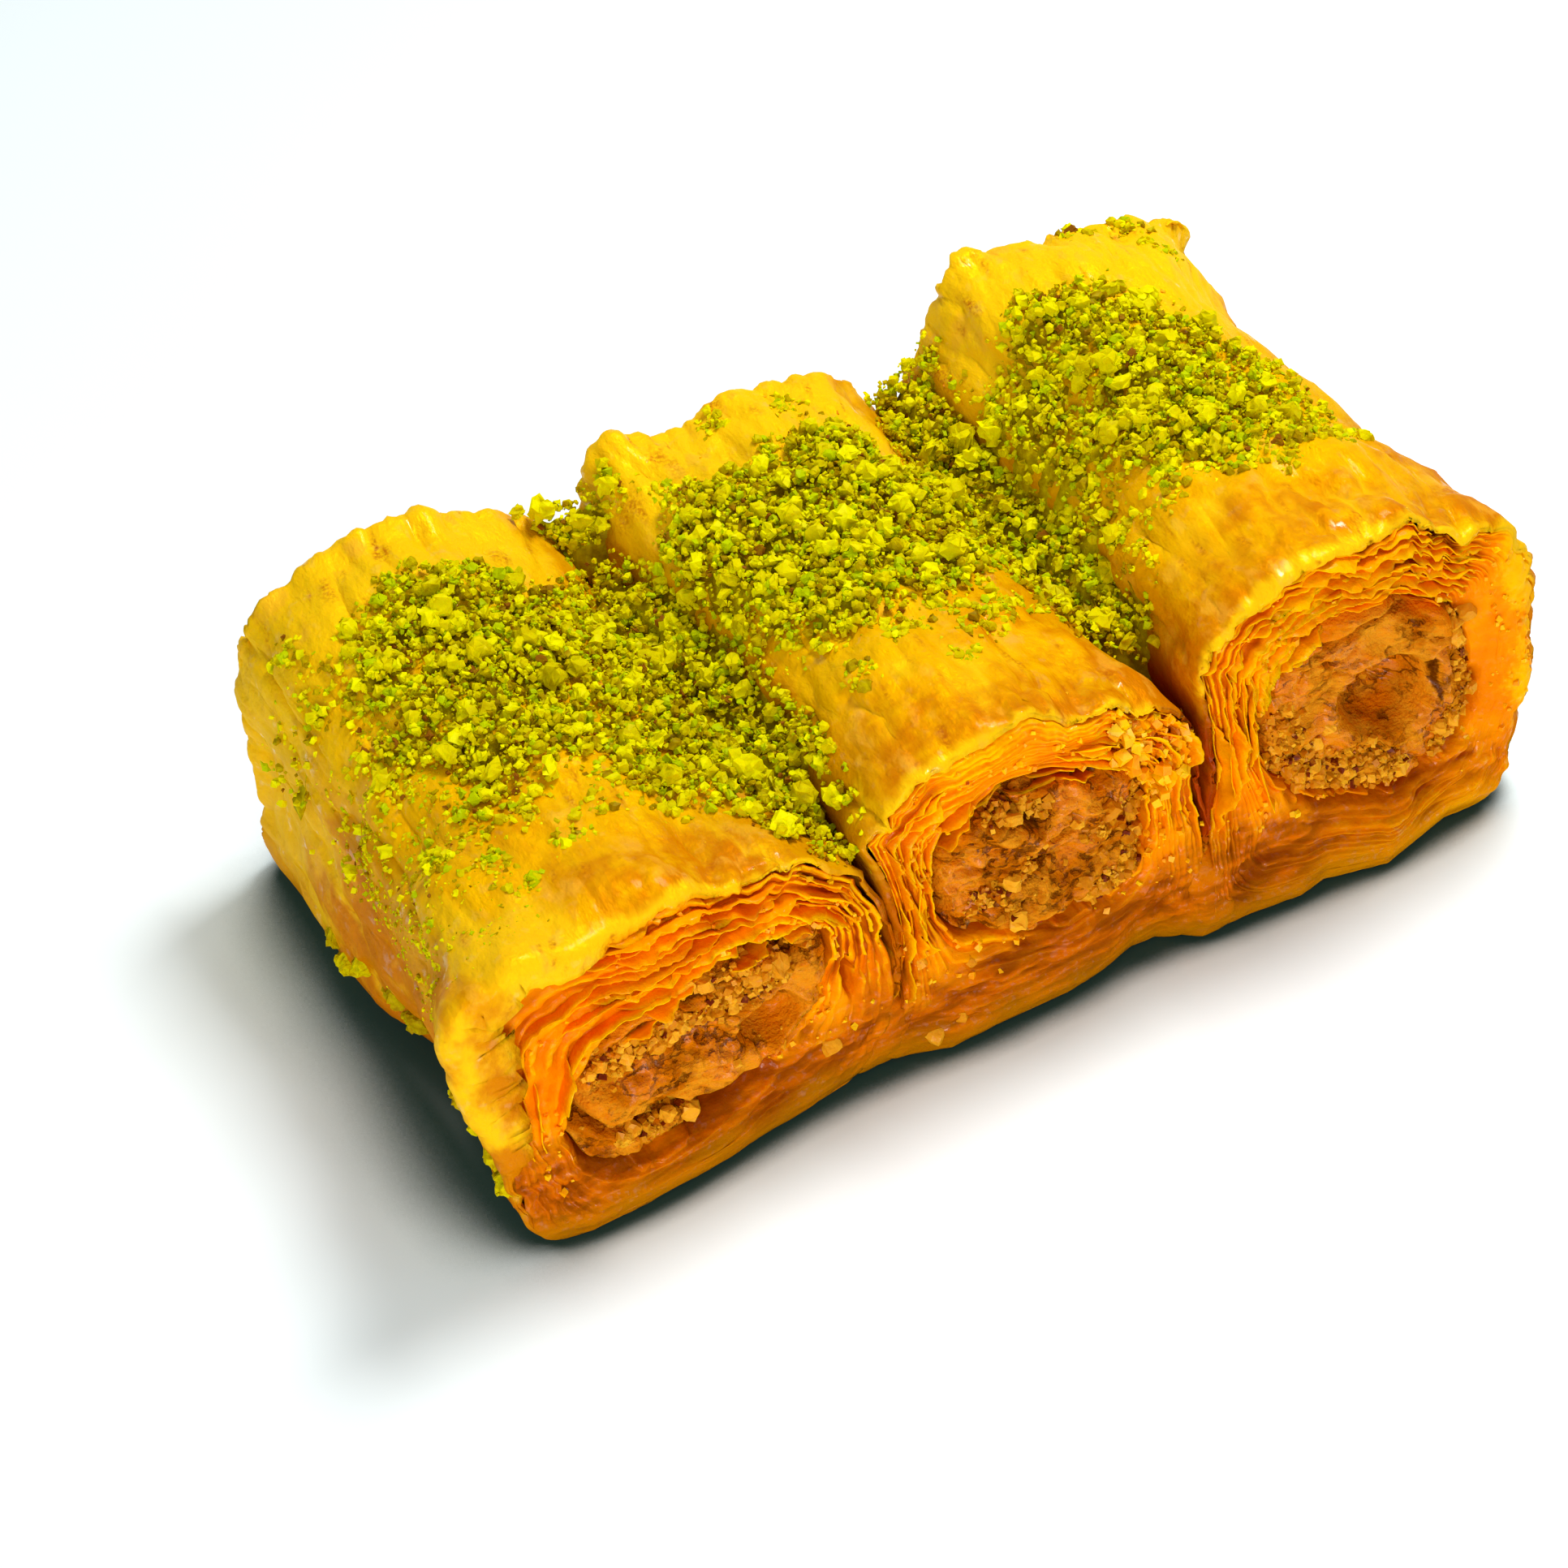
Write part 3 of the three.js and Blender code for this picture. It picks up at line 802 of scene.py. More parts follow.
@dataclass(frozen=True)
class Section:
    """A roll's cross-section: the x of its feet, and where its outline turns, as (x, z)."""

    feet: tuple[float, float]
    belly_left: tuple[float, float]
    shoulder_left: tuple[float, float]
    crown: tuple[float, float]
    shoulder_right: tuple[float, float]
    belly_right: tuple[float, float]

    def outline(self, count: int) -> Array:
        """Evenly spaced points round the section, from its left foot by the right.

        Args:
            count: How many points to return.

        Returns:
            An array of (count, 2), as x and z.
        """
        left, right = self.feet
        corners = [
            (left + BASE_ROUND, 0.0),
            ((left + right) / 2, 0.0),
            (right - BASE_ROUND, 0.0),
            (right, BASE_ROUND),
            self.belly_right,
            self.shoulder_right,
            self.crown,
            self.shoulder_left,
            self.belly_left,
            (left, BASE_ROUND),
        ]
        return closed_curve(corners, count)


@dataclass(frozen=True)
class Seam:
    """The surface where two rolls are stuck.

    Attributes:
        front: Its x at three heights at the front cut face.
        back: The same at the back one.
        gape: How far each roll draws back from it above the syrup.
        heights: The three heights, of foot, belly and valley.
    """

    front: tuple[float, float, float]
    back: tuple[float, float, float]
    gape: float = 0.45
    heights: tuple[float, float, float] = (0.0, 13.0, 23.0)

    def x_at(self, y: Array, z: Array) -> Array:
        """The seam's x at each place.

        Args:
            y: Places along the rolls.
            z: Heights.

        Returns:
            The x of the seam.
        """
        share = np.clip(y / LENGTH, 0.0, 1.0)
        held = np.minimum(z, self.heights[2] + 3.0)
        total = np.zeros(np.broadcast(y, z).shape)
        for i in range(3):
            j, k = (i + 1) % 3, (i + 2) % 3
            h0, h1, h2 = self.heights[i], self.heights[j], self.heights[k]
            value = blend(self.front[i], self.back[i], share)
            total = total + value * (held - h1) * (held - h2) / ((h0 - h1) * (h0 - h2))
        return total


@dataclass(frozen=True)
class Curl:
    """Where the outer skin curls out at a cut edge, by `out`, fading over `reach` along the roll."""

    at: tuple[float, float]
    radius: float
    reach: float
    out: float
    side: Side = Side.FRONT


@dataclass(frozen=True)
class Dent:
    """Where a roll's outer side is moved along X: its middle and half sizes as (y, z), and by how much."""

    at: tuple[float, float]
    half: tuple[float, float]
    move: float
    on_left: bool = True


@dataclass(frozen=True)
class Melt:
    """Where the sheets of a cut face have run together: the middle and radius, and how much."""

    at: tuple[float, float]
    radius: float
    share: float = 1.0


@dataclass(frozen=True)
class Hollow:
    """A hollow in a filling's front face, or between the sheets round it.

    Attributes:
        at: The middle of its mouth, as (x, z).
        half: Half the mouth's width and height.
        depth: How deep it is.
        tilt: Radians that the mouth is turned by.
        shade: How much darker it is painted under its rim.
    """

    at: tuple[float, float]
    half: tuple[float, float]
    depth: float
    tilt: float = 0.0
    shade: float = 0.8

    def away(self, x: Array, z: Array) -> Array:
        """How far each place is from the hollow's middle.

        Args:
            x: Places across the rolls.
            z: Heights.

        Returns:
            The distances, with 1 at the hollow's rim.
        """
        c, s = math.cos(self.tilt), math.sin(self.tilt)
        dx, dz = x - self.at[0], z - self.at[1]
        across = (dx * c + dz * s) / self.half[0]
        up = (dz * c - dx * s) / self.half[1]
        return np.hypot(across, up)


@dataclass(frozen=True)
class Groove:
    """A crease in a cut face along a line of places (x, z), with its half width and depth."""

    line: tuple[tuple[float, float], ...]
    half_width: float
    depth: float

    def away(self, x: Array, z: Array) -> Array:
        """How far each place is from the line.

        Args:
            x: Places across the rolls.
            z: Heights.

        Returns:
            The distances, with 1 at the crease's edge.
        """
        nearest = np.full(np.shape(x), np.inf)
        for (x0, z0), (x1, z1) in zip(self.line, self.line[1:]):
            run = (x1 - x0) ** 2 + (z1 - z0) ** 2
            share = np.clip(((x - x0) * (x1 - x0) + (z - z0) * (z1 - z0)) / run, 0.0, 1.0)
            off = np.hypot(x - x0 - share * (x1 - x0), z - z0 - share * (z1 - z0))
            nearest = np.minimum(nearest, off)
        return nearest / self.half_width


@dataclass(frozen=True)
class Fold:
    """Where the outer skin turns in over the front cut face, how far, and how much paler it is painted
    there.
    """

    at: tuple[float, float]
    radius: float
    depth: float
    pale: float = 0.0


@dataclass(frozen=True)
class Ridge:
    """A crease standing up in the outer skin along a line of places (x, y, z)."""

    line: tuple[tuple[float, float, float], ...]
    half_width: float
    height: float

    def lift(self, points: Array) -> Array:
        """How far the crease lifts the skin.

        Args:
            points: Places on the skin.

        Returns:
            The lift at each.
        """
        nearest = np.full(points.shape[:-1], np.inf)
        for a, b in zip(self.line, self.line[1:]):
            start, run = np.array(a), np.array(b) - np.array(a)
            share = np.clip(((points - start) @ run) / (run @ run), 0.0, 1.0)
            away = np.linalg.norm(points - start - share[..., None] * run, axis=-1)
            nearest = np.minimum(nearest, away)
        return self.height * np.exp(-((nearest / self.half_width) ** 2))


# Places along X, and how far along Y the syrupy foot of the front face lies at each.
HEM = (
    (0.0, -1.1), (4.0, -2.0), (8.0, -1.9), (14.0, -1.4), (18.0, -0.8), (22.5, -0.2), (28.5, 0.7),
    (31.0, 0.3), (34.0, -0.6), (44.0, -0.7), (47.0, -0.3), (50.5, 0.7), (52.5, 0.7), (55.5, -1.2),
    (60.0, -1.3), (64.0, -1.7), (66.4, -1.2), (71.5, -2.4), (78.0, -0.8), (84.0, -1.2),
)


def foot_shift(side: Side, x: Array, z: Array) -> Array:
    """How far along Y a cut face is moved by its syrupy foot, which swells and waves.

    Args:
        side: Which cut face.
        x: Places across the rolls.
        z: Heights.

    Returns:
        The move along Y.
    """
    low = 1.0 - smooth(z, 1.5, SOAKED_HEIGHT)
    if side is Side.FRONT:
        hem_x, hem_y = zip(*HEM)
        return np.interp(x, hem_x, hem_y) * low
    wave = 0.7 * np.sin(x / 4.3 + 0.6) * np.sin(x / 7.7)
    return (0.8 + wave) * low


@dataclass
class Filling:
    """The folded pastry and nuts inside a roll.

    Attributes:
        centre: The middle of its cross-section, as (x, z).
        half: Half its width and height.
        lean: How far it leans.
        seed: Which random fields it takes.
        hollows: Caves in its front face.
        grooves: Creases in its front face.
        folds: Lobes that stand out of its front face; their depth is how far.
        crumbly: Bands of crushed nuts; their depth is how many there are.
        nuts: Places (x, z) and sizes of the large pieces of nut.
        around: How many points each ring of an end has.
        rings: How many rings an end has.
    """

    centre: tuple[float, float]
    half: tuple[float, float]
    lean: float
    seed: int
    hollows: tuple[Hollow, ...] = ()
    grooves: tuple[Groove, ...] = ()
    folds: tuple[Groove, ...] = ()
    crumbly: tuple[Groove, ...] = ()
    nuts: tuple[tuple[float, float, float], ...] = ()
    around: int = 230
    rings: int = 62

    def outline(self, angles: Array, y: float, grown: float = 0.0) -> Array:
        """The filling's outline at some angles about its middle.

        Args:
            angles: In radians, from +X towards +Z.
            y: The place along the roll.
            grown: How much larger it is made.

        Returns:
            An array of x and z for each angle.
        """
        c, s = np.cos(angles), np.sin(angles)
        rim = np.stack([self.half[0] * c, np.full(c.shape, y / 3 + 9 * self.seed), self.half[1] * s], -1)
        wobble = 1 + 0.09 * RandomField(self.seed + 7, 5.0, 3).at(rim)
        x = (self.half[0] * wobble + grown) * np.sign(c) * np.abs(c) ** 0.85
        z = (self.half[1] * wobble + grown) * np.sign(s) * np.abs(s) ** 0.85
        return np.stack([self.centre[0] + x + self.lean * z * 0.5, self.centre[1] + z + self.lean * x], -1)

    def facing(self, ring: Array, y: float, grown: float) -> Array:
        """The outline's points in the same directions from the middle as those of a ring.

        Args:
            ring: Points of the skin, as (around, 3).
            y: The place along the roll.
            grown: How much larger the outline is made.

        Returns:
            An array of x and z for each of the ring's points.
        """
        dx = (ring[:, 0] - self.centre[0]) / self.half[0]
        dz = (ring[:, 2] - self.centre[1]) / self.half[1]
        return self.outline(np.arctan2(dz, dx), y, grown)

    def _end(self, side: Side) -> tuple[Array, Array, Array]:
        """One end of the filling.

        Args:
            side: Which end.

        Returns:
            Points as (rings, around, 3), how light each is painted, from 0 in creases, as painted shade,
            to over 1 in caves, as painted light on their floors, and how crumbly each is.
        """
        angles = -math.pi / 2 + np.linspace(0, 2 * math.pi, self.around, endpoint=False)
        rim = self.outline(angles, side.y)
        share = np.linspace(0.015, 1.0, self.rings)[:, None, None]
        flat = np.array(self.centre) + (rim[None] - np.array(self.centre)) * share
        x, z = flat[..., 0], flat[..., 1]
        r = np.broadcast_to(share[..., 0], x.shape)
        place = np.stack([x, np.full(x.shape, side.y + 40 * self.seed), z], -1)
        warp = RandomField(self.seed + 1, 2.6, 3).at(place)
        warp_z = RandomField(self.seed + 2, 2.6, 3).at(place)
        wx, wz = x + 0.45 * warp, z + 0.45 * warp_z
        doughy = RandomField(self.seed + 3, 4.6, 2).at(place)
        layers = np.abs(np.sin(math.pi * (z / 2.7 - 0.12 * x * self.lean + 0.9 * doughy)))
        thin = np.abs(np.sin(math.pi * (z / 1.15 - 0.1 * x * self.lean + 1.5 * warp + 0.8 * doughy)))
        pits = smooth(RandomField(self.seed + 5, 1.5, 2).at(place), 0.55, 0.8)
        height = -0.7 + 0.75 * doughy + 0.45 * layers**0.6 + 0.16 * thin**0.7 - 0.7 * pits
        height += 0.34 * RandomField(self.seed + 4, 1.1, 3).at(place)
        # Painted shade: lift is lower in the troughs between the folded layers and in the pits.
        lift = (0.35 + 0.65 * smooth(layers, 0.0, 0.35)) * (0.6 + 0.4 * smooth(thin, 0.0, 0.4))
        lift = lift * (1 - 0.6 * pits)
        broken = RandomField(self.seed + 9, 2.4, 2).at(place)
        crumbly = 0.3 * smooth(broken, 0.35, 0.8)
        # Painted shade in the crack round the filling's upper rim.
        rim_crack = smooth(r + 0.05 * broken, 0.9, 0.965)
        lift = lift * (1 - 0.85 * rim_crack * smooth(z, self.centre[1] - 2, self.centre[1] + 2))
        if side is Side.FRONT:
            for band in self.crumbly:
                crumbly = np.maximum(crumbly, band.depth * (1 - smooth(band.away(wx, wz), 0.5, 1.1)))
            for lobe in self.folds:
                height += lobe.depth * (1 - smooth(lobe.away(wx, wz), 0.2, 1.0))
            for hollow in self.hollows:
                away = hollow.away(wx, wz)
                inside = 1 - smooth(away, 0.72, 1.0)
                floor = 0.3 * doughy + 0.3 * thin - hollow.depth * (1 - 0.75 * np.clip(away, 0, 1) ** 2)
                height = blend(height, floor, inside)
                height += 0.45 * np.exp(-(((away - 1.1) / 0.16) ** 2))
                # Painted shade and light: each hollow is painted dark under its rim and lighter on its lower
                # floor.
                shaded = smooth((wz - hollow.at[1]) / hollow.half[1] + 0.3 * warp, -1.0, -0.05)
                lift = blend(lift, 1.15 - hollow.shade * shaded, inside)
            for groove in self.grooves:
                inside = 1 - smooth(groove.away(wx, wz), 0.15, 1.0)
                height -= groove.depth * inside
                # Painted shade down in the groove.
                lift = lift * (1 - 0.95 * inside)
        else:
            band = RandomField(self.seed + 8, 5.0, 2).at(place)
            crumbly = smooth(band, 0.1, 0.5)
            height -= 1.2 * smooth(-band, 0.25, 0.7)
        soaked_rim = smooth(r + 0.16 * doughy + 0.1 * warp, 0.72, 0.98) * (1 - crumbly)
        lift = blend(lift, np.maximum(lift, 1.0 + 0.2 * doughy + 0.12 * warp), soaked_rim)
        crumbles = RandomField(self.seed + 6, 0.8, 2).at(place)
        height += crumbly * (0.35 * crumbles - 0.25)
        low = 1 - smooth(z, self.centre[1] - self.half[1], self.centre[1])
        beside = smooth(x, self.centre[0] + 0.45 * self.half[0], self.centre[0] + 0.95 * self.half[0])
        low = np.maximum(low, 0.85 * beside)
        height += low * 0.5 - blend(2.0, 0.35, low) * smooth(r, 0.86, 0.995)
        shift = foot_shift(side, x, z)
        points = np.stack([x, side.y + side.sign * height + shift, z], -1)
        return points, np.clip(lift, 0, 1.5), crumbly

    def surface(self) -> Surface:
        """The whole filling, lumpy at both ends and plain inside the roll.

        Returns:
            Its closed surface.
        """
        front, front_lift, _ = self._end(Side.FRONT)
        back, back_lift, _ = self._end(Side.BACK)
        angles = -math.pi / 2 + np.linspace(0, 2 * math.pi, self.around, endpoint=False)
        inner = []
        for y in (4.0, LENGTH / 2, LENGTH - 4.0):
            rim = self.outline(angles, y)
            inner.append(np.stack([rim[:, 0], np.full(self.around, y), rim[:, 1]], -1))
        rows = np.concatenate([front, np.array(inner), back[::-1]])
        plain = np.full((3, self.around), 0.5)
        lift = np.concatenate([front_lift, plain, back_lift[::-1]])
        return Surface.from_rings(rows, False, {"lift": lift})

    def crumb_bed(self, side: Side) -> tuple[Array, Array, Array]:
        """Where crushed nuts lie on one end: its points, their normals and how thick they lie.

        Args:
            side: Which end.

        Returns:
            Points, normals and weights, all flattened.
        """
        points, _, crumbly = self._end(side)
        normals = surface_normals(points)
        if (normals[..., 1] * side.sign).mean() < 0:
            normals = -normals
        radius = np.hypot(points[..., 0] - self.centre[0], points[..., 2] - self.centre[1])
        return points.reshape(-1, 3), normals.reshape(-1, 3), (crumbly * radius).reshape(-1)


@dataclass
class Roll:
    """One phyllo roll: its outer skin, its two cut faces and the loose sheets in them.

    Attributes:
        name: Which roll it is.
        seed: Which random fields it takes.
        front: Its section at the front cut face.
        back: Its section at the back one.
        filling: What it is wrapped round.
        curls: Where its skin curls out at the front.
        folds: Where its skin turns in over the front face.
        ridges: Creases in its skin.
        dents: Where its outer sides are pressed in or bulge.
        melts: Where the sheets of its front face have run together.
        pleats: How deep the pleats on its left side are.
        left_seam: Where it is stuck to the roll on its left.
        right_seam: Where it is stuck to the roll on its right.
        sheets: How many sheets each cut face shows.
        openness: How wide the gaps between the sheets gape.
        slots: Hollows between the sheets of the front face.
        closed: Where the outermost sheets close over the front face's rim in one smooth band.
        inner_sheets: How many thin sheets stand out of each end of the filling.
        around: How many points each ring of its skin has.
        lip_rows: How many rings each torn edge of its skin has.
    """

    name: str
    seed: int
    front: Section
    back: Section
    filling: Filling
    curls: tuple[Curl, ...] = ()
    folds: tuple[Fold, ...] = ()
    ridges: tuple[Ridge, ...] = ()
    dents: tuple[Dent, ...] = ()
    melts: tuple[Melt, ...] = ()
    pleats: float = 0.0
    left_seam: Seam | None = None
    right_seam: Seam | None = None
    sheets: int = 12
    openness: float = 1.0
    slots: tuple[Hollow, ...] = ()
    closed: tuple[Melt, ...] = ()
    inner_sheets: int = 4
    around: int = 380
    lip_rows: int = 9
    _made: Array | None = field(default=None, init=False, repr=False)

    @property
    def middle(self) -> float:
        """The x halfway between its feet."""
        return sum(self.front.feet) / 2

    def _beside(self, x: Array, y: Array, z: Array, grown: float) -> Array:
        """The x held between the seams, which gape above the syrup.

        Args:
            x: Places across the rolls.
            y: Places along them.
            z: Heights.
            grown: How far past the seams' walls the places may lie.

        Returns:
            The held x.
        """
        opened = smooth(z, 9.5, 14.0) * (1.0 - 0.5 * smooth(y, 6.0, 16.0))
        if self.right_seam:
            gape = GAP / 2 - 0.12 + self.right_seam.gape * opened
            x = np.minimum(x, self.right_seam.x_at(y, z) - gape + grown)
        if self.left_seam:
            gape = GAP / 2 - 0.12 + self.left_seam.gape * opened
            x = np.maximum(x, self.left_seam.x_at(y, z) + gape - grown)
        return x

    def plain(self, stations: Array, count: int, grown: float = 0.0) -> Array:
        """The roll's form without its small relief.

        Args:
            stations: The y of each ring.
            count: How many points each ring has.
            grown: How far outwards from the true form it lies.

        Returns:
            Points as (stations, count, 3).
        """
        share = np.clip(stations / LENGTH, 0, 1)[:, None]
        near, far = self.front.outline(count), self.back.outline(count)
        x = blend(near[None, :, 0], far[None, :, 0], share)
        z = blend(near[None, :, 1], far[None, :, 1], share)
        y = np.broadcast_to(stations[:, None], x.shape).copy()
        waist = np.sin(math.pi * share)
        high = smooth(z, 6, 20)
        fold = 0.28 * lumps(x, y, z, 3.4) * smooth(z, 1, 5)
        drawn = (x - self.middle) / ROLL_HALF * WAIST * waist * high
        spread = 1 + fold / ROLL_HALF
        z = np.maximum(0.0, z * spread - SAG * waist * high)
        x = self.middle + (x - self.middle) * spread - drawn
        run_x = np.roll(x, -1, 1) - np.roll(x, 1, 1)
        run_z = np.roll(z, -1, 1) - np.roll(z, 1, 1)
        run = np.maximum(np.hypot(run_x, run_z), 1e-9)
        out = np.full(x.shape, grown)
        for curl in self.curls:
            away = np.hypot(x - curl.at[0], z - curl.at[1]) / curl.radius
            along = np.abs(y - curl.side.y) / curl.reach
            out += curl.out * np.clip(1 - along, 0, None) ** 2 * np.exp(-(away**2))
        x, z = x + run_z / run * out, np.maximum(0.0, z - run_x / run * out)
        for dent in self.dents:
            away = np.hypot((y - dent.at[0]) / dent.half[0], (z - dent.at[1]) / dent.half[1])
            own = smooth((x - self.middle) * (-1.0 if dent.on_left else 1.0), 4.0, 10.0)
            x = x + dent.move * own * np.exp(-(away**2))
        return np.stack([self._beside(x, y, z, grown), y, z], -1)

    def _pleat(self, points: Array, normals_x: Array) -> tuple[Array, Array]:
        """The pleats on the left side.

        Args:
            points: Places on the skin.
            normals_x: The part along X of the way it faces at each.

        Returns:
            For each point, from 0 in a valley to 1 on a crest, and how strong the pleats are there.
        """
        y, z = points[..., 1], points[..., 2]
        side = smooth(-normals_x, 0.15, 0.75) * smooth(z, 1.5, 6) * (1 - smooth(z, 21, 25.5))
        slant = y + 0.45 * (z - 12) + 1.1 * RandomField(self.seed + 13, 5.0, 2).at(points)
        return np.abs(np.sin(math.pi * slant / 3.6)) ** 0.7, side * (1 - 0.7 * smooth(y, 20, 34))

    def _relief(self, points: Array, normals: Array) -> Array:
        """How far the skin's creases, pleats and blisters stand out.

        Args:
            points: Places on the skin.
            normals: The way it faces at each.

        Returns:
            The relief at each point.
        """
        x, y, z = points[..., 0], points[..., 1], points[..., 2]
        stretched = points * np.array([1.0, 0.55, 1.0])
        broad = RandomField(self.seed, 8.0, 2).at(stretched) * 0.7
        crease = RandomField(self.seed + 5, 5.5, 3).at(stretched)
        creases = np.clip(1.0 - np.abs(crease) * 3.0, 0, 1) ** 2 * 0.55
        wrinkle = RandomField(self.seed + 6, 3.0, 3).at(points * np.array([1.0, 0.7, 1.0]))
        creases += np.clip(1.0 - np.abs(wrinkle) * 3.2, 0, 1) ** 2 * 0.26
        fine = RandomField(self.seed + 9, 1.4, 3).at(points * np.array([1.0, 0.7, 1.0])) * 0.16
        blisters = smooth(RandomField(self.seed + 10, 1.7, 2).at(points), 0.45, 0.9) * 0.22
        fine = fine + blisters
        ends = np.clip(1 - np.minimum(y, LENGTH - y) / 4.5, 0, 1) ** 2
        flare = RandomField(self.seed + 11, 5.0, 2).at(points) * 0.5 + 0.25
        total = broad + creases + fine + ends * flare * smooth(z, 10, 18)
        rough = RandomField(self.seed + 12, 1.9, 3).at(points)
        total += 0.55 * rough * (1 - smooth(LENGTH - y, 0.5, 5.0)) * smooth(z, 12, 20)
        if self.pleats:
            pleat, side = self._pleat(points, normals[..., 0])
            total += self.pleats * side * (pleat - 0.6)
        for ridge in self.ridges:
            total += ridge.lift(points)
        for fold in self.folds:
            away = np.hypot(x - fold.at[0], z - fold.at[1]) / fold.radius
            total = total * (1 - 0.6 * np.exp(-(away**4)) * (1 - smooth(y, 3, 9)))
        held = smooth(z, 0.3, 4.5)
        for seam in (self.left_seam, self.right_seam):
            if seam:
                held = held * smooth(np.abs(x - seam.x_at(y, z)), 0.2, 2.2)
        return total * held

    def _band(self, side: Side, x: Array, z: Array) -> Array:
        """How far the outermost sheets close over a cut face's rim.

        Args:
            side: Which cut face.
            x: Places on its outline, across the rolls.
            z: Their heights.

        Returns:
            A share from 0 to 1 for each place.
        """
        band = np.zeros(x.shape)
        for spot in self.closed if side is Side.FRONT else ():
            away = np.hypot(x - spot.at[0], z - spot.at[1]) / spot.radius
            band = np.maximum(band, spot.share * np.exp(-(away**6)))
        return band

    def _front_folds(self, x: Array, z: Array) -> Array:
        """How far the skin turns in over the front face.

        Args:
            x: Places on its outline, across the rolls.
            z: Their heights.

        Returns:
            The depth at each place.
        """
        depth = 0.9 * (1 - smooth(z, 1.0, 4.5))
        for fold in self.folds:
            away = np.hypot(x - fold.at[0], z - fold.at[1]) / fold.radius
            depth = np.maximum(depth, fold.depth * np.exp(-(away**2)))
        return depth

    def _lip(self, side: Side, edge: Array) -> Array:
        """The rows of the skin's torn edge beyond a cut face's plane, from the tip to the corner.

        Args:
            side: Which cut face.
            edge: The skin's ring at that face.

        Returns:
            Points as (lip rows, around, 3).
        """
        x, z = edge[:, 0], edge[:, 2]
        run_x = np.roll(x, -1) - np.roll(x, 1)
        run_z = np.roll(z, -1) - np.roll(z, 1)
        run = np.maximum(np.hypot(run_x, run_z), 1e-9)
        out_x, out_z = run_z / run, -run_x / run
        place = np.stack([x, np.full(x.shape, 9.0 * side.sign), z], -1)
        torn = RandomField(self.seed + 21, 3.4, 3).at(place)
        ragged = RandomField(self.seed + 22, 0.9, 3).at(place)
        depth = self._front_folds(x, z) if side is Side.FRONT else 0.9 * (1 - smooth(z, 1.0, 4.5))
        folded = smooth(depth, 0.4, 1.6)
        band = self._band(side, x, z)
        depth = np.maximum(depth, 0.9 * band)
        high = smooth(z, 3.0, 9.0) * (1 - band)
        tear = smooth(torn, 0.25, 0.7) * high * (1 - folded)
        start = 0.2 if side is Side.FRONT else 0.8
        reach = start + 0.65 * torn + 0.5 * ragged - 1.9 * tear
        reach = blend(-0.5, reach, high * (1 - folded)) + 1.45 * folded * high
        depth = depth * (1 + 0.2 * torn * high)
        curl = 0.35 * RandomField(self.seed + 23, 4.0, 2).at(place) * high * (1 - folded)
        rows = []
        for q in np.linspace(1.0, 1.0 / self.lip_rows, self.lip_rows):
            teeth = (0.5 * ragged + 0.35 * np.abs(np.sin(2.6 * z + 3 * torn))) * folded * high * q**5
            inward = depth * q**1.4 - curl * q**2 + 0.12 * q * high + teeth
            px, pz = x - out_x * inward, np.maximum(z - out_z * inward, 0.0)
            arch = blend(math.sin(q * math.pi / 2), min(1.0, 2.4 * q) ** 0.6, folded * high)
            py = edge[:, 1] + side.sign * reach * arch
            where = np.stack([px, np.full(px.shape, 3.0 * q), pz], -1)
            crease = 0.12 * np.sin(2 * math.pi * (1.4 * q + 0.5 * torn))
            crease += 0.2 * RandomField(self.seed + 24, 2.6, 3).at(where)
            py += side.sign * crease * folded * high * q
            rows.append(np.stack([px, py, pz], -1))
        return np.array(rows)

    def skin(self) -> tuple[Array, Array]:
        """The outer side of the skin, with its torn edges.

        Returns:
            Points as (rows, around, 3) from the front tip to the back one, and how far each
            row is into a torn edge, from 0 to 1.
        """
        into = np.linspace(1.0, 1.0 / self.lip_rows, self.lip_rows)
        if self._made is not None:
            tips = np.concatenate([into, np.zeros(len(self._made) - 2 * self.lip_rows), into[::-1]])
            return self._made, tips
        share = np.linspace(0, 1, SKIN_ROWS)
        stations = LENGTH * (0.72 * share + 0.28 * (1 - np.cos(math.pi * share)) / 2)
        body = self.plain(stations, self.around)
        normals = surface_normals(body)
        body = body + normals * self._relief(body, normals)[..., None]
        body[..., 2] = np.maximum(body[..., 2], 0.0)
        body[..., 0] = self._beside(body[..., 0], body[..., 1], body[..., 2], 0.0)
        for side in Side:
            away = np.abs(body[..., 1] - side.y)
            rounded = 0.3 * (1 - smooth(body[..., 2], 0.2, 2.4)) * (1 - smooth(away, 0.0, 3.0))
            shift = foot_shift(side, body[..., 0], body[..., 2]) * (1 - smooth(away, 0.0, 9.0))
            body[..., 1] += shift - side.sign * rounded
        front = self._lip(Side.FRONT, body[0])
        back = self._lip(Side.BACK, body[-1])
        self._made = np.concatenate([front, body, back[::-1]])
        return self.skin()

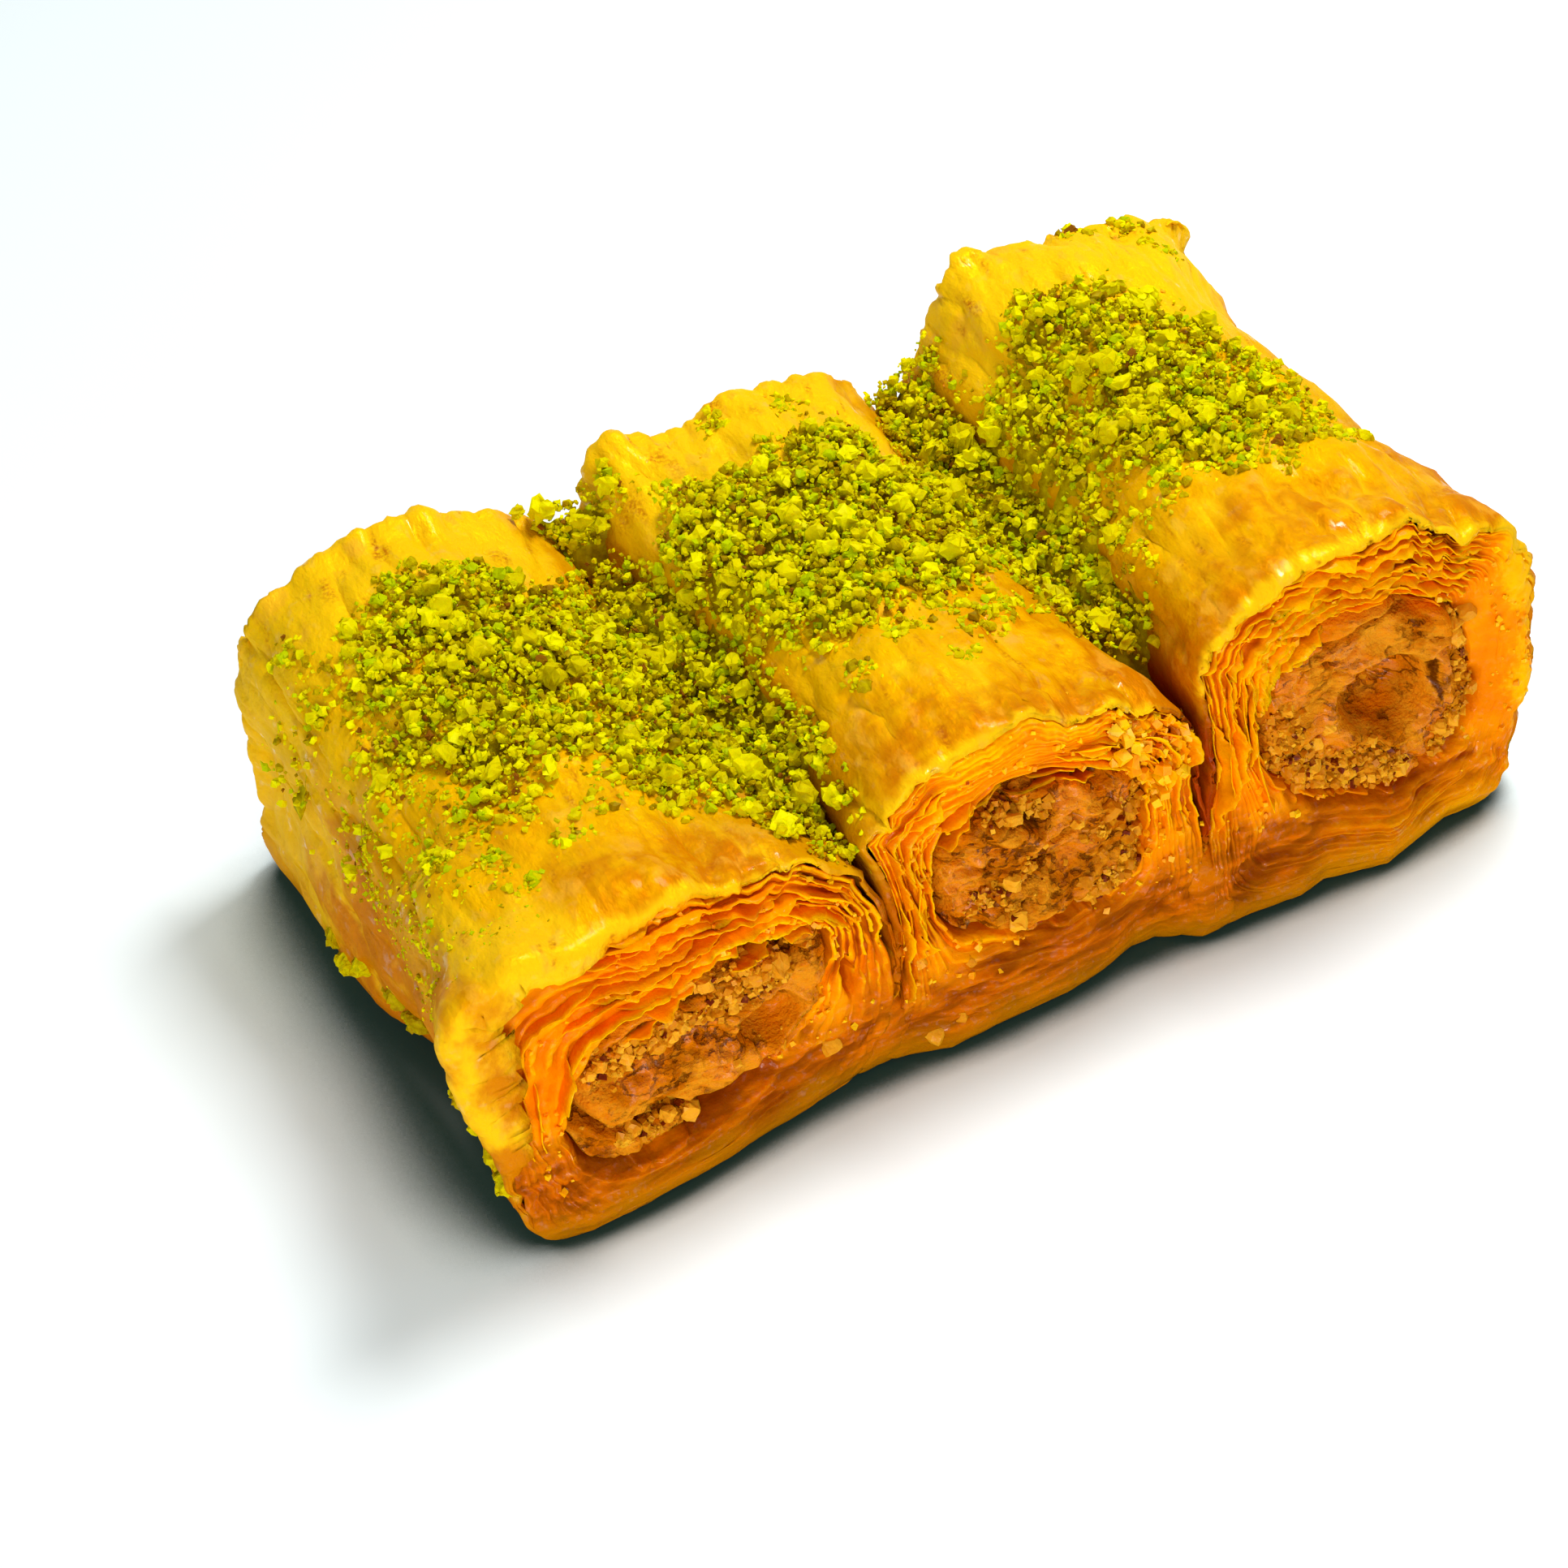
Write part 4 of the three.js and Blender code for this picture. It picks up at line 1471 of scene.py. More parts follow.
    def skin_surface(self) -> Surface:
        """The whole skin, thinner at its torn edges.

        Returns:
            Its closed surface, painted where it is soaked and toasted, with painted shade on its shaded
            sides and seams and painted highlights on its crests and edges.
        """
        outer, tips = self.skin()
        normals = surface_normals(outer)
        thick = blend(SKIN_THICKNESS, TIP_THICKNESS, tips)[:, None, None]
        inner = outer - normals * thick
        inner[..., 2] = np.maximum(inner[..., 2], 0.03)
        count = self.lip_rows
        picked = np.concatenate([
            np.arange(0, count + 1, 2),
            np.linspace(count + 1, len(outer) - count - 2, 30).astype(int),
            np.arange(len(outer) - count - 1, len(outer), 2),
        ])
        rows = np.concatenate([outer, inner[picked[::-1]]])
        x, y, z = rows[..., 0], rows[..., 1], rows[..., 2]
        normals_x = np.concatenate([normals, normals[picked[::-1]]])[..., 0]
        soaked = 1 - smooth(z + 1.2 * RandomField(self.seed + 31, 3.0, 2).at(rows), 0.5, 7.5)
        soaked = soaked * (1 - 0.6 * (1 - smooth(z, 0.5, 2.4)))
        # Painted shade: crevice darkens the seams' depths between the rolls, above the syrup and towards the
        # front.
        crevice, beside = np.zeros(x.shape), np.zeros(x.shape)
        for seam in (self.left_seam, self.right_seam):
            if seam:
                away = np.abs(x - seam.x_at(y, z)) - seam.gape
                deep = smooth(z, 6, 10) * (1 - smooth(z, 19, 24.5))
                deep = deep * min(0.9, seam.gape * 1.5) * (1 - smooth(y, 16, 30))
                crevice = np.maximum(crevice, deep * (1 - smooth(away, 0.3, 1.6)))
                # Painted shade: beside marks the seams' sides, which are painted more orange.
                beside = np.maximum(beside, (1 - smooth(away, 1.0, 6.0)) * (1 - smooth(z, 22, 28)))
        # Painted highlight: crest marks the crests of the creases, which are painted paler.
        crease = RandomField(self.seed + 5, 5.5, 3).at(rows * np.array([1.0, 0.55, 1.0]))
        crest = np.clip(1.0 - np.abs(crease) * 3.0, 0, 1) ** 2
        # Painted shade: the sides facing away from the key lamp are painted more orange.
        beside = np.maximum(beside, 0.9 * smooth(-normals_x, 0.2, 0.85) * (1 - smooth(z, 21, 29)))
        if self.pleats:
            pleat, side = self._pleat(rows, normals_x)
            # Painted highlight: the pleats' crests are painted paler.
            crest = np.maximum(crest, 0.7 * side * smooth(pleat, 0.75, 0.98) * smooth(y, 2, 6))
            # Painted shade: the pleats' valleys are painted more orange.
            beside = np.maximum(beside, side * (1 - smooth(pleat, 0.1, 0.6)))
        crown = smooth(z, 17, 27)
        specks = smooth(RandomField(self.seed + 33, 0.9, 2).at(rows), 0.72, 0.85)
        scorched = smooth(RandomField(self.seed + 34, 2.6, 3).at(rows), 0.45, 0.9)
        ends = smooth(np.abs(y - LENGTH / 2), LENGTH / 2 - 9, LENGTH / 2)
        back = smooth(y, LENGTH - 13, LENGTH - 2)
        toasted = np.clip(0.75 * specks * crown + scorched * back * crown * 0.9, 0, 1)
        # More orange below the crown, at the ends and at the front, and as painted shade where beside is
        # high.
        warm = np.clip(1 - crown + 0.35 * ends + 0.4 * (1 - smooth(y, 4, 26)) + 0.9 * beside, 0, 1.4)
        pale = 0.6 * smooth(y, 22, 38)
        frayed = RandomField(self.seed + 35, 2.0, 3).at(rows)
        # Painted highlight: rim is a paler band along the skin's front upper edge.
        rim = smooth(z, 17, 23) * (1 - smooth(y + 0.5 * frayed, -0.2, 0.7)) * (0.75 + 0.4 * frayed)
        tip = np.concatenate([tips, np.zeros(len(picked))])[:, None]
        for fold in self.folds:
            away = np.hypot(x - fold.at[0], z - fold.at[1]) / fold.radius
            near = (1 - smooth(y, 0.5, 6.0)) * (1 - smooth(away, 0.6, 1.3))
            pale = np.maximum(pale, fold.pale * near * (1 - tip))
            # Painted light: the front left corner is painted paler, with no painted shade.
            corner = np.exp(-(((x - 3) / 5.0) ** 2) - ((y - 1.5) / 5.0) ** 2) * smooth(z, 20, 23.5)
            pale = np.maximum(pale, 0.8 * corner)
            beside = beside * (1 - corner)
            crest = crest * (1 - near)
            rim = rim * (1 - 0.8 * near)
            warm = warm + near * (0.5 * tip - 0.1)
        # Painted highlight: the torn tips are painted paler.
        pale = np.maximum(pale, 0.75 * tip**2 * smooth(z, 12, 19) * (1 - beside))
        pale = np.maximum(pale, np.clip(rim, 0, 0.9))
        dusted = np.exp(-smooth(-self.drifted(x, y), 0.0, 4.5) * 2.2) * smooth(z, 14, 20)
        # No painted highlight or paler colour where beside marks painted shade.
        pale = pale * (1 - beside)
        painted = {
            "soaked": soaked,
            "toasted": toasted,
            "warm": warm,
            "pale": pale,
            "dusted": dusted,
            "crest": crest,
            "crevice": crevice,
        }
        return Surface.from_rings(rows, True, painted)

    @staticmethod
    def drifted(x: Array, y: Array) -> Array:
        """How thick the pistachio lies at each place; it is negative where there is none."""
        return Drift(MOUNDS, Ground(np.zeros(GROUND_CELLS))).thickness(x, y)

    def _face_frame(self, side: Side, count: int, inward: float = 0.0) -> tuple[Array, Array]:
        """The outer and inner outlines of a cut face.

        Args:
            side: Which cut face.
            count: How many points round it.
            inward: How far behind the face the outer one is taken.

        Returns:
            Two arrays of (count, 2), as x and z.
        """
        rows = self.skin()[0]
        body = rows[self.lip_rows:len(rows) - self.lip_rows]
        edge = body[int(np.argmin(np.abs(body[..., 1].mean(1) - side.y + side.sign * inward)))]
        index = np.arange(count) * len(edge) / count
        closed = np.vstack([edge, edge[:1]])
        ring = np.stack([np.interp(index, np.arange(len(closed)), closed[:, k]) for k in range(3)], -1)
        outline = ring[:, [0, 2]]
        run = np.roll(outline, -2, 0) - np.roll(outline, 2, 0)
        run = run / np.maximum(np.linalg.norm(run, axis=1, keepdims=True), 1e-9)
        outward = np.stack([run[:, 1], -run[:, 0]], -1)
        inset = 0.3 * smooth(outline[:, 1], 1.0, 5.0)[:, None]
        return outline - outward * inset, self.filling.facing(ring, side.y, 0.1)

    def _melted(self, side: Side, x: Array, z: Array) -> Array:
        """How far the sheets of a cut face have run together at each place.

        Args:
            side: Which cut face.
            x: Places across the rolls.
            z: Heights.

        Returns:
            A share from 0, all apart, to 1, all one.
        """
        place = np.stack([x, np.full(x.shape, 33.0 * side.sign), z], -1)
        patches = RandomField(self.seed + 48, 4.5, 3).at(place)
        melt = np.zeros(x.shape)
        for spot in self.melts if side is Side.FRONT else ():
            away = np.hypot(x - spot.at[0], z - spot.at[1]) / spot.radius
            melt = np.maximum(melt, spot.share * np.exp(-(away**4)))
        return np.clip(melt + 0.8 * smooth(patches, 0.0, 0.9), 0.0, 1.0)

    def face_surface(self, side: Side) -> Surface:
        """The edges of the sheets in a cut face, with gaps between them and a soaked foot.

        Args:
            side: Which cut face.

        Returns:
            Its closed surface, painted by how far each edge is lifted, as painted light on proud edges and
            painted shade in the gaps, and by how soaked it is.
        """
        count = FRONT_AROUND if side is Side.FRONT else BACK_AROUND
        outer, inner = self._face_frame(side, count)
        widths = np.random.default_rng(self.seed).uniform(0.45, 1.6, self.sheets)
        starts = np.concatenate([[0.0], np.cumsum(widths) / widths.sum()])
        profile = ((0.04, 0.0), (0.2, 0.2), (0.31, 1.0), (0.62, 0.93), (0.76, 0.2))
        rows, lifts, soaks, feet = [], [], [], []
        depth = self._front_folds(outer[:, 0], outer[:, 1]) if side is Side.FRONT else np.zeros(count)
        wide = np.linalg.norm(outer - inner, axis=1)
        band = self._band(side, outer[:, 0], outer[:, 1])
        for k in range(self.sheets):
            spacing = starts[k + 1] - starts[k]
            for offset, level in profile:
                share = starts[k] + offset * spacing
                flat = blend(outer, inner, share)
                where = np.stack([flat[:, 0], np.full(count, 6.1 * k + 50 * side.sign), flat[:, 1]], -1)
                flow = RandomField(self.seed + 41, 6.0, 2).at(where * np.array([1, 0.01, 1]))
                wave = RandomField(self.seed + 46, 4.0, 3).at(where * np.array([1, 0.25, 1]))
                moved = share + 0.09 * math.sin(math.pi * share) * flow + 0.36 * spacing * wave
                flat = blend(outer, inner, np.clip(moved, 0.0, 1.0)[:, None])
                x, z = flat[:, 0], flat[:, 1]
                where = np.stack([x, where[:, 1], z], -1)
                dry = np.maximum(smooth(z + 1.5 * wave, 5.0, 11.0), band * smooth(z, 1.5, 5.0))
                torn = RandomField(self.seed + 42, 3.2, 2).at(where)
                ragged = RandomField(self.seed + 43, 0.8, 3).at(where)
                gape = RandomField(self.seed + 44, 3.6, 2).at(where)
                lead = 0.45 * math.sin(2.3 * k + self.seed)
                terrace = 1.1 * math.sin(math.pi * min(1.0, share * 1.2 + 0.05) / 2) * smooth(z, 13, 19)
                edge = lead + terrace - 0.3 + 0.55 * torn + 0.4 * ragged - 1.5 * smooth(torn, 0.35, 0.8)
                reach = 2.5 * self.openness * (0.4 + 0.6 * smooth(share, 0.05, 0.3))
                gap = 0.1 * ragged - 0.1 - reach * smooth(gape, 0.0, 0.7)
                height = blend(gap, edge, level)
                melt = self._melted(side, x, z)
                soft = RandomField(self.seed + 47, 3.0, 3).at(where * np.array([1, 0, 1]))
                height = blend(height, 0.15 + 0.4 * soft + 0.12 * (level - 0.5), melt)
                swirl = RandomField(self.seed + 45, 1.5, 4).at(where * np.array([0.45, 0.12, 1.5]))
                wet = 0.45 + 0.38 * swirl + 0.25 * soft + 0.16 * (level - 0.5) * (1 - melt)
                wet = blend(wet, 0.5 - 0.7 * (1 - z / 2.6) ** 2 + 0.15 * swirl, 1 - smooth(z, 1.6, 3.2))
                height = blend(wet, height, dry)
                # Painted light and shade: lift follows how far each edge stands out, so gaps are painted as
                # shade and proud edges as light.
                lift = blend(level, 0.55 + 0.4 * soft, 0.85 * melt)
                swell = 1.5 * math.sin(math.pi * min(1.0, share) ** 0.55) - 0.5
                height = blend(height, swell + 0.25 * soft + 0.1 * ragged, band)
                # Painted light: the band over the rim is painted lighter towards its outer side.
                lift = blend(lift, 1.05 - 0.8 * share + 0.25 * soft, band)
                lift = blend(0.55 + 0.6 * swirl, lift, dry)
                for slot in self.slots if side is Side.FRONT else ():
                    inside = 1 - smooth(slot.away(x, z), 0.5, 1.0)
                    height -= slot.depth * inside
                    # Painted shade in the slots.
                    lift = lift * (1 - 0.8 * inside)
                below = 1 - smooth(z, self.filling.centre[1] - 4.5, self.filling.centre[1] - 1.5)
                crack = smooth(share, 0.8, 0.97) * below * smooth(torn + 0.5 * ragged, -0.5, 0.0)
                height = height - 1.1 * crack
                # Painted shade in the cracks.
                lift = lift * (1 - 0.95 * crack)
                under = 1 - smooth(share * wide, depth - 0.3, depth + 0.6)
                height = blend(height, np.minimum(height, 0.25), smooth(depth, 0.9, 2.0) * under)
                drawn = 0.4 * np.clip(-height, 0, None) * (1 - smooth(share, 0.15, 0.5)) / wide
                x, z = x + (inner[:, 0] - outer[:, 0]) * drawn, z + (inner[:, 1] - outer[:, 1]) * drawn
                height += foot_shift(side, x, z) * side.sign
                rows.append(np.stack([x, side.y + side.sign * height, z], -1))
                lifts.append(np.clip(lift, 0, 1))
                soaks.append(1 - dry)
                feet.append(1 - smooth(z + 0.8 * wave, 0.8, 4.6))
        for share, inward in ((1.0, 2.6), (1.0, 4.5), (0.2, 4.5), (0.14, 1.8)):
            flat = blend(self._face_frame(side, count, inward)[0], inner, share)
            rows.append(np.stack([flat[:, 0], np.full(count, side.y - side.sign * inward), flat[:, 1]], -1))
            # Painted shade on the walls behind the face.
            lifts.append(np.full(count, 0.05))
            soaks.append(np.zeros(count))
            feet.append(np.zeros(count))
        ordered = slice(None, None, 1 if side is Side.BACK else -1)
        painted = {"lift": lifts, "soaked": soaks, "foot": feet}
        painted = {name: np.array(values)[ordered] for name, values in painted.items()}
        return Surface.from_rings(np.array(rows)[ordered], True, painted)

    def _loose_sheet(
        self, side: Side, rng: np.random.Generator, start: float, reach: float, inset: float
    ) -> Surface:
        """One thin sheet that stands out of a cut face between two places round it.

        Args:
            side: Which cut face.
            rng: Random numbers for its shape.
            start: Where it starts, as a share of the way round from the left foot.
            reach: How far round it goes.
            inset: How far in from the skin it lies, as a share of the way to the filling.

        Returns:
            Its closed surface.
        """
        outer, inner = self._face_frame(side, LOOSE_AROUND)
        length = max(16, int(reach * LOOSE_AROUND))
        index = (int(start * LOOSE_AROUND) + np.arange(length)) % LOOSE_AROUND
        share = np.linspace(0, 1, length)
        ends = np.clip(np.minimum(share, 1 - share) * 5, 0, 1) ** 0.7
        shift = rng.uniform(0, 90)
        base = blend(outer[index], inner[index], inset)
        where = np.stack([base[:, 0], np.full(length, shift), base[:, 1]], -1)
        wave = RandomField(self.seed + 51, 5.0, 2).at(where)
        torn = RandomField(self.seed + 52, 2.8, 3).at(where)
        ragged = RandomField(self.seed + 53, 0.8, 3).at(where)
        lean = (inset + 0.06 * wave)[:, None]
        base = blend(outer[index], inner[index], lean)
        towards = outer[index] - inner[index]
        towards = towards / np.maximum(np.linalg.norm(towards, axis=1, keepdims=True), 1e-9)
        out = rng.uniform(0.4, 1.0) + 0.8 * inset * (inset < 1)
        front = ends * (out + 0.95 * torn + 0.42 * ragged) - (1 - ends) * 0.8
        if side is Side.FRONT:
            depth = self._front_folds(outer[index, 0], outer[index, 1])
            wide = np.linalg.norm(outer[index] - inner[index], axis=1)
            front -= 2.4 * smooth(depth, 0.9, 2.0) * (1 - smooth(inset * wide, depth - 0.2, depth + 0.8))
            front -= 3.4 * self._band(side, outer[index, 0], outer[index, 1])
        curl = rng.uniform(-0.5, 0.6) + 0.9 * wave
        steps = np.array([-2.6, -1.4, -0.5, 0.15, 0.6, 1.0])
        rows = []
        for step in steps:
            y = np.where(step < 0, step, step * front) if step > 0 else np.full(length, step)
            y = np.maximum(y, -2.6) if step > 0 else y
            bend = np.clip(curl * np.clip((y + 0.6) / 1.8, 0, None) ** 2, -0.7, 0.9)
            rows.append((y, bend))
        loops = []
        for thick, order in ((0.5, range(len(steps))), (-0.5, range(len(steps) - 1, -1, -1))):
            for i in order:
                y, bend = rows[i]
                half = thick * (0.17 if steps[i] < 0.5 else 0.09)
                flat = base + towards * (bend + half - 0.4 * np.clip(-y, 0, None))[:, None]
                flat[:, 0] = self._beside(flat[:, 0], np.maximum(y, 0.0), flat[:, 1], 0.3 + half)
                place_z = np.maximum(flat[:, 1], 0.2)
                shifted = side.y + side.sign * y + foot_shift(side, flat[:, 0], place_z)
                loops.append(np.stack([flat[:, 0], shifted, place_z], -1))
        grid = np.array(loops).transpose(1, 0, 2)
        # Painted shade and light: the part of the sheet inside the face is painted darker, its tip lighter.
        lifts = (0.1, 0.2, 0.4, 0.6, 0.8, 1.0)
        lift = np.array([lifts + lifts[::-1]] * length) * rng.uniform(0.7, 1.0)
        soaked = 1 - smooth(grid[..., 2], 5.0, 10.0)
        painted = {"lift": lift, "soaked": soaked, "foot": np.zeros(lift.shape)}
        return Surface.from_rings(grid, False, painted)

    def loose_sheets(self, side: Side, top: int, sides: int) -> Surface:
        """Thin sheets standing out of a cut face.

        Args:
            side: Which cut face.
            top: How many lie across its top.
            sides: How many stand at its left and right sides.

        Returns:
            All of them as one surface.
        """
        rng = np.random.default_rng(self.seed * 7 + (1 if side is Side.FRONT else 2))
        made = []
        for k in range(top):
            inset = 0.05 + 0.85 * (k + rng.uniform(0.2, 0.8)) / top
            start = rng.uniform(0.47, 0.6)
            made.append(self._loose_sheet(side, rng, start, rng.uniform(0.12, 0.26), inset))
        for k in range(sides):
            inset = 0.06 + 0.8 * (k // 2 + rng.uniform(0.2, 0.8)) / (sides / 2)
            start = rng.uniform(0.36, 0.44) if k % 2 else rng.uniform(0.76, 0.84)
            made.append(self._loose_sheet(side, rng, start, rng.uniform(0.06, 0.13), min(inset, 0.92)))
        for k in range(self.inner_sheets):
            start, inset = rng.uniform(0.4, 0.72), 1.04 + 0.09 * k
            made.append(self._loose_sheet(side, rng, start, rng.uniform(0.05, 0.14), inset))
        return made[0].joined(made[1:])


@dataclass(frozen=True)
class SyrupJoint:
    """The bead of syrup that fills the seam between two rolls at the foot of a cut face.

    Attributes:
        seam: Where the rolls are stuck.
        top: How high it reaches.
        half_width: Half its width at the foot.
        seed: Which random fields it takes.
    """

    seam: Seam
    top: float
    half_width: float
    seed: int

    def surface(self, side: Side) -> Surface:
        """The bead at one cut face.

        Args:
            side: Which cut face.

        Returns:
            Its closed surface, painted as the cut faces are.
        """
        heights = np.linspace(0.25, self.top, 46)
        turns = np.linspace(0, 2 * math.pi, 40, endpoint=False)
        share = heights / self.top
        centre = self.seam.x_at(np.full(heights.shape, side.y), heights)
        z = np.repeat(heights[:, None], len(turns), 1)
        ring_x = np.repeat(centre[:, None], len(turns), 1) + np.cos(turns)
        where = np.stack([ring_x, z * 0 + self.seed, z], -1)
        uneven = RandomField(self.seed, 2.2, 3).at(where)
        half = (self.half_width * (1 - share**1.6) + 0.25)[:, None] * (1 + 0.35 * uneven)
        x = centre[:, None] + half * np.cos(turns) + 0.25 * RandomField(self.seed + 1, 3.0, 2).at(where)
        proud = 0.35 - 0.9 * smooth(z, self.top * 0.5, self.top) - 0.7 * (1 - smooth(z, 0.2, 2.0))
        swell = np.where(np.sin(turns) > 0, 0.55, 1.2) * np.sin(turns)
        y = side.y + foot_shift(side, x, z) + side.sign * (proud + 0.3 * uneven + swell - 0.3)
        rows = np.stack([x, y, z], -1)
        if side is Side.FRONT:
            rows = rows[::-1]
        lift = np.clip(0.55 + 0.5 * uneven, 0, 1)
        foot = 1 - smooth(z, 0.8, 4.6)
        painted = {"lift": lift, "soaked": np.ones(z.shape), "foot": foot}
        if side is Side.FRONT:
            painted = {name: values[::-1] for name, values in painted.items()}
        return Surface.from_rings(rows, False, painted)


# ---------------------------------------------------------------- pistachio and crumbs


@dataclass(frozen=True)
class Ground:
    """The height of the rolls' upper side over a grid of places.

    Attributes:
        heights: The height at each corner of the grid.
        low: The x and y of its first corner.
        step: How far apart its corners are.
        floor: How high the valleys are filled between the rolls.
    """

    heights: Array
    low: tuple[float, float] = (-5.0, -5.0)
    step: float = 0.5
    floor: float = 13.0

    @classmethod
    def over(cls, skins: Sequence[Array]) -> Ground:
        """The ground over some skins.

        Args:
            skins: The points of each skin's outer side.

        Returns:
            The ground, with the valleys' floor where no skin is higher.
        """
        heights = np.full(GROUND_CELLS, -1.0)
        for skin in skins:
            place = skin.reshape(-1, 3)
            i = ((place[:, 0] - cls.low[0]) / cls.step + 0.5).astype(int)
            j = ((place[:, 1] - cls.low[1]) / cls.step + 0.5).astype(int)
            np.maximum.at(heights, (i, j), place[:, 2])
        for _ in range(3):
            around = [np.roll(np.roll(heights, di, 0), dj, 1) for di in (-1, 0, 1) for dj in (-1, 0, 1)]
            heights = np.where(heights < 0, np.max(around, axis=0), heights)
        return cls(np.maximum(heights, cls.floor))

    def at(self, x: Array, y: Array) -> Array:
        """The ground's height.

        Args:
            x: Places across the rolls.
            y: Places along them.

        Returns:
            The height at each place.
        """
        u = np.clip((x - self.low[0]) / self.step, 0, self.heights.shape[0] - 1.001)
        v = np.clip((y - self.low[1]) / self.step, 0, self.heights.shape[1] - 1.001)
        i, j = u.astype(int), v.astype(int)
        du, dv = u - i, v - j
        near = blend(self.heights[i, j], self.heights[i + 1, j], du)
        far = blend(self.heights[i, j + 1], self.heights[i + 1, j + 1], du)
        return blend(near, far, dv)


@dataclass(frozen=True)
class Mound:
    """One of the drift's mounds: its middle and half sizes as (x, y), and its height."""

    at: tuple[float, float]
    half: tuple[float, float]
    height: float


@dataclass
class Drift:
    """The drift of ground pistachio: overlapping mounds on the evened-out ground.

    Attributes:
        mounds: Its mounds.
        ground: What it lies on.
        levelling: Over what distance it evens out the ground.
    """

    mounds: tuple[Mound, ...]
    ground: Ground
    levelling: float = 4.2

    def thickness(self, x: Array, y: Array) -> Array:
        """How thick the drift is.

        Args:
            x: Places across the rolls.
            y: Places along them.

        Returns:
            The thickness at each place, negative outside the drift.
        """
        thick = np.full(np.shape(x), -4.0)
        for mound in self.mounds:
            away = np.hypot((x - mound.at[0]) / mound.half[0], (y - mound.at[1]) / mound.half[1])
            thick = np.maximum(thick, mound.height * (1 - away**3))
        place = np.stack([x, y, np.full(np.shape(x), 5.0)], -1)
        return thick + 0.35 * lumps(x, y, place[..., 2], 3.1) + 0.6 * RandomField(74, 5.0, 3).at(place)

    def top(self, x: Array, y: Array) -> Array:
        """The height of the drift's upper side, or of the ground outside it.

        Args:
            x: Places across the rolls.
            y: Places along them.

        Returns:
            The height at each place.
        """
        ground = self.ground.at(x, y)
        around = [self.ground.at(x + step * self.levelling, y) for step in (-1, -0.5, 0, 0.5, 1)]
        level = np.maximum(ground, blend(ground, np.mean(around, axis=0), smooth(y, 2.0, 12.0)))
        thick = self.thickness(x, y)
        place = np.stack([x, y, np.zeros(np.shape(x))], -1)
        ripple = 0.5 * RandomField(72, 3.4, 2).at(place)
        clumped = 1.5 * (np.minimum(np.abs(RandomField(73, 2.3, 2).at(place)), 0.55) - 0.28)
        heap = level + np.minimum(1.0, thick * 1.5) * (thick * 0.6 + ripple + clumped)
        return np.where(thick > 0, np.maximum(heap, ground), ground)

    def core(self) -> Surface:
        """The lumpy body of the drift under its crumbs, painted dark as the shade between them.

        Returns:
            Its closed surface.
        """
        xs = np.arange(-1.5, 80.0, DRIFT_CELL)
        ys = np.arange(1.2, LENGTH - 0.8, DRIFT_CELL)
        x, y = np.meshgrid(xs, ys, indexing="ij")
        place = np.stack([x, y, np.zeros(x.shape)], -1)
        thick = self.thickness(x, y)
        lumpy = RandomField(71, 1.5, 3).at(place)
        ends = (1 - smooth(y, 1.2, 3.2)) + smooth(y, LENGTH - 3.2, LENGTH - 1.0)
        ends = ends + 1 - smooth(y, 6.0, 13.0)
        high = self.top(x, y) + 0.4 * lumpy - 0.6 - 1.6 * (1 - smooth(thick, 0.2, 1.2)) - 0.8 * ends
        across, along = x.shape
        i, j = np.meshgrid(np.arange(across - 1), np.arange(along - 1), indexing="ij")
        a, b, c, d = (i * along + j, (i + 1) * along + j, (i + 1) * along + j + 1, i * along + j + 1)
        quads = np.stack([a, b, c, d], -1).reshape(-1, 4)
        inside = (thick > 0.4) & (y > 7.5)
        quads = quads[inside.reshape(-1)[quads].any(axis=1)]
        used, flat_index = np.unique(quads, return_inverse=True)
        quads = flat_index.reshape(-1, 4)
        top = np.stack([x, y, high], -1).reshape(-1, 3)[used]
        edges = np.concatenate([quads[:, [k, (k + 1) % 4]] for k in range(4)])
        key = edges[:, 0] * len(used) + edges[:, 1]
        reverse = edges[:, 1] * len(used) + edges[:, 0]
        rim = edges[~np.isin(key, reverse)]
        wall = np.stack([rim[:, 1], rim[:, 0], rim[:, 0] + len(used), rim[:, 1] + len(used)], -1)
        points = np.vstack([top, top - np.array([0.0, 0.0, 0.8])])
        # Painted shade: the core's tone is dark, standing for the shade between the crumbs.
        tone = np.tile(0.08 + 0.2 * lumpy.reshape(-1)[used], 2)
        return Surface(points, [quads, quads[:, ::-1] + len(used), wall], {"tone": np.clip(tone, 0.03, 0.3)})


@dataclass
class Bed:
    """Where crumbs of one kind lie.

    Attributes:
        places: The crumbs' middles, in batches.
        sizes: Their radii, in the same batches.
    """

    places: list[Array] = field(default_factory=list)
    sizes: list[Array] = field(default_factory=list)

    def strew(
        self,
        rng: np.random.Generator,
        points: Array,
        normals: Array,
        weights: Array,
        count: int,
        size: tuple[float, float],
        sunk: float = 0.25,
        jitter: float = 0.2,
    ) -> None:
        """Lays crumbs at random on a surface.

        Args:
            rng: Random numbers.
            points: Places on the surface.
            normals: The way the surface faces at each.
            weights: How likely each is.
            count: How many crumbs to lay.
            size: The least and most of their radius.
            sunk: How far each sinks in, as a share of its radius.
            jitter: How far each may lie from its place.
        """
        chosen = rng.choice(len(points), count, p=weights / weights.sum())
        radius = size[0] + (size[1] - size[0]) * rng.random(count) ** 1.8
        place = points[chosen] + rng.uniform(-jitter, jitter, (count, 3))
        self.places.append(place + normals[chosen] * (radius * (1 - sunk) * 0.8)[:, None])
        self.sizes.append(radius)

    def put(self, places: Array | Sequence[Sequence[float]], sizes: Array | Sequence[float]) -> None:
        """Lays crumbs at given places, with given radii."""
        self.places.append(np.array(places, float))
        self.sizes.append(np.array(sizes, float))


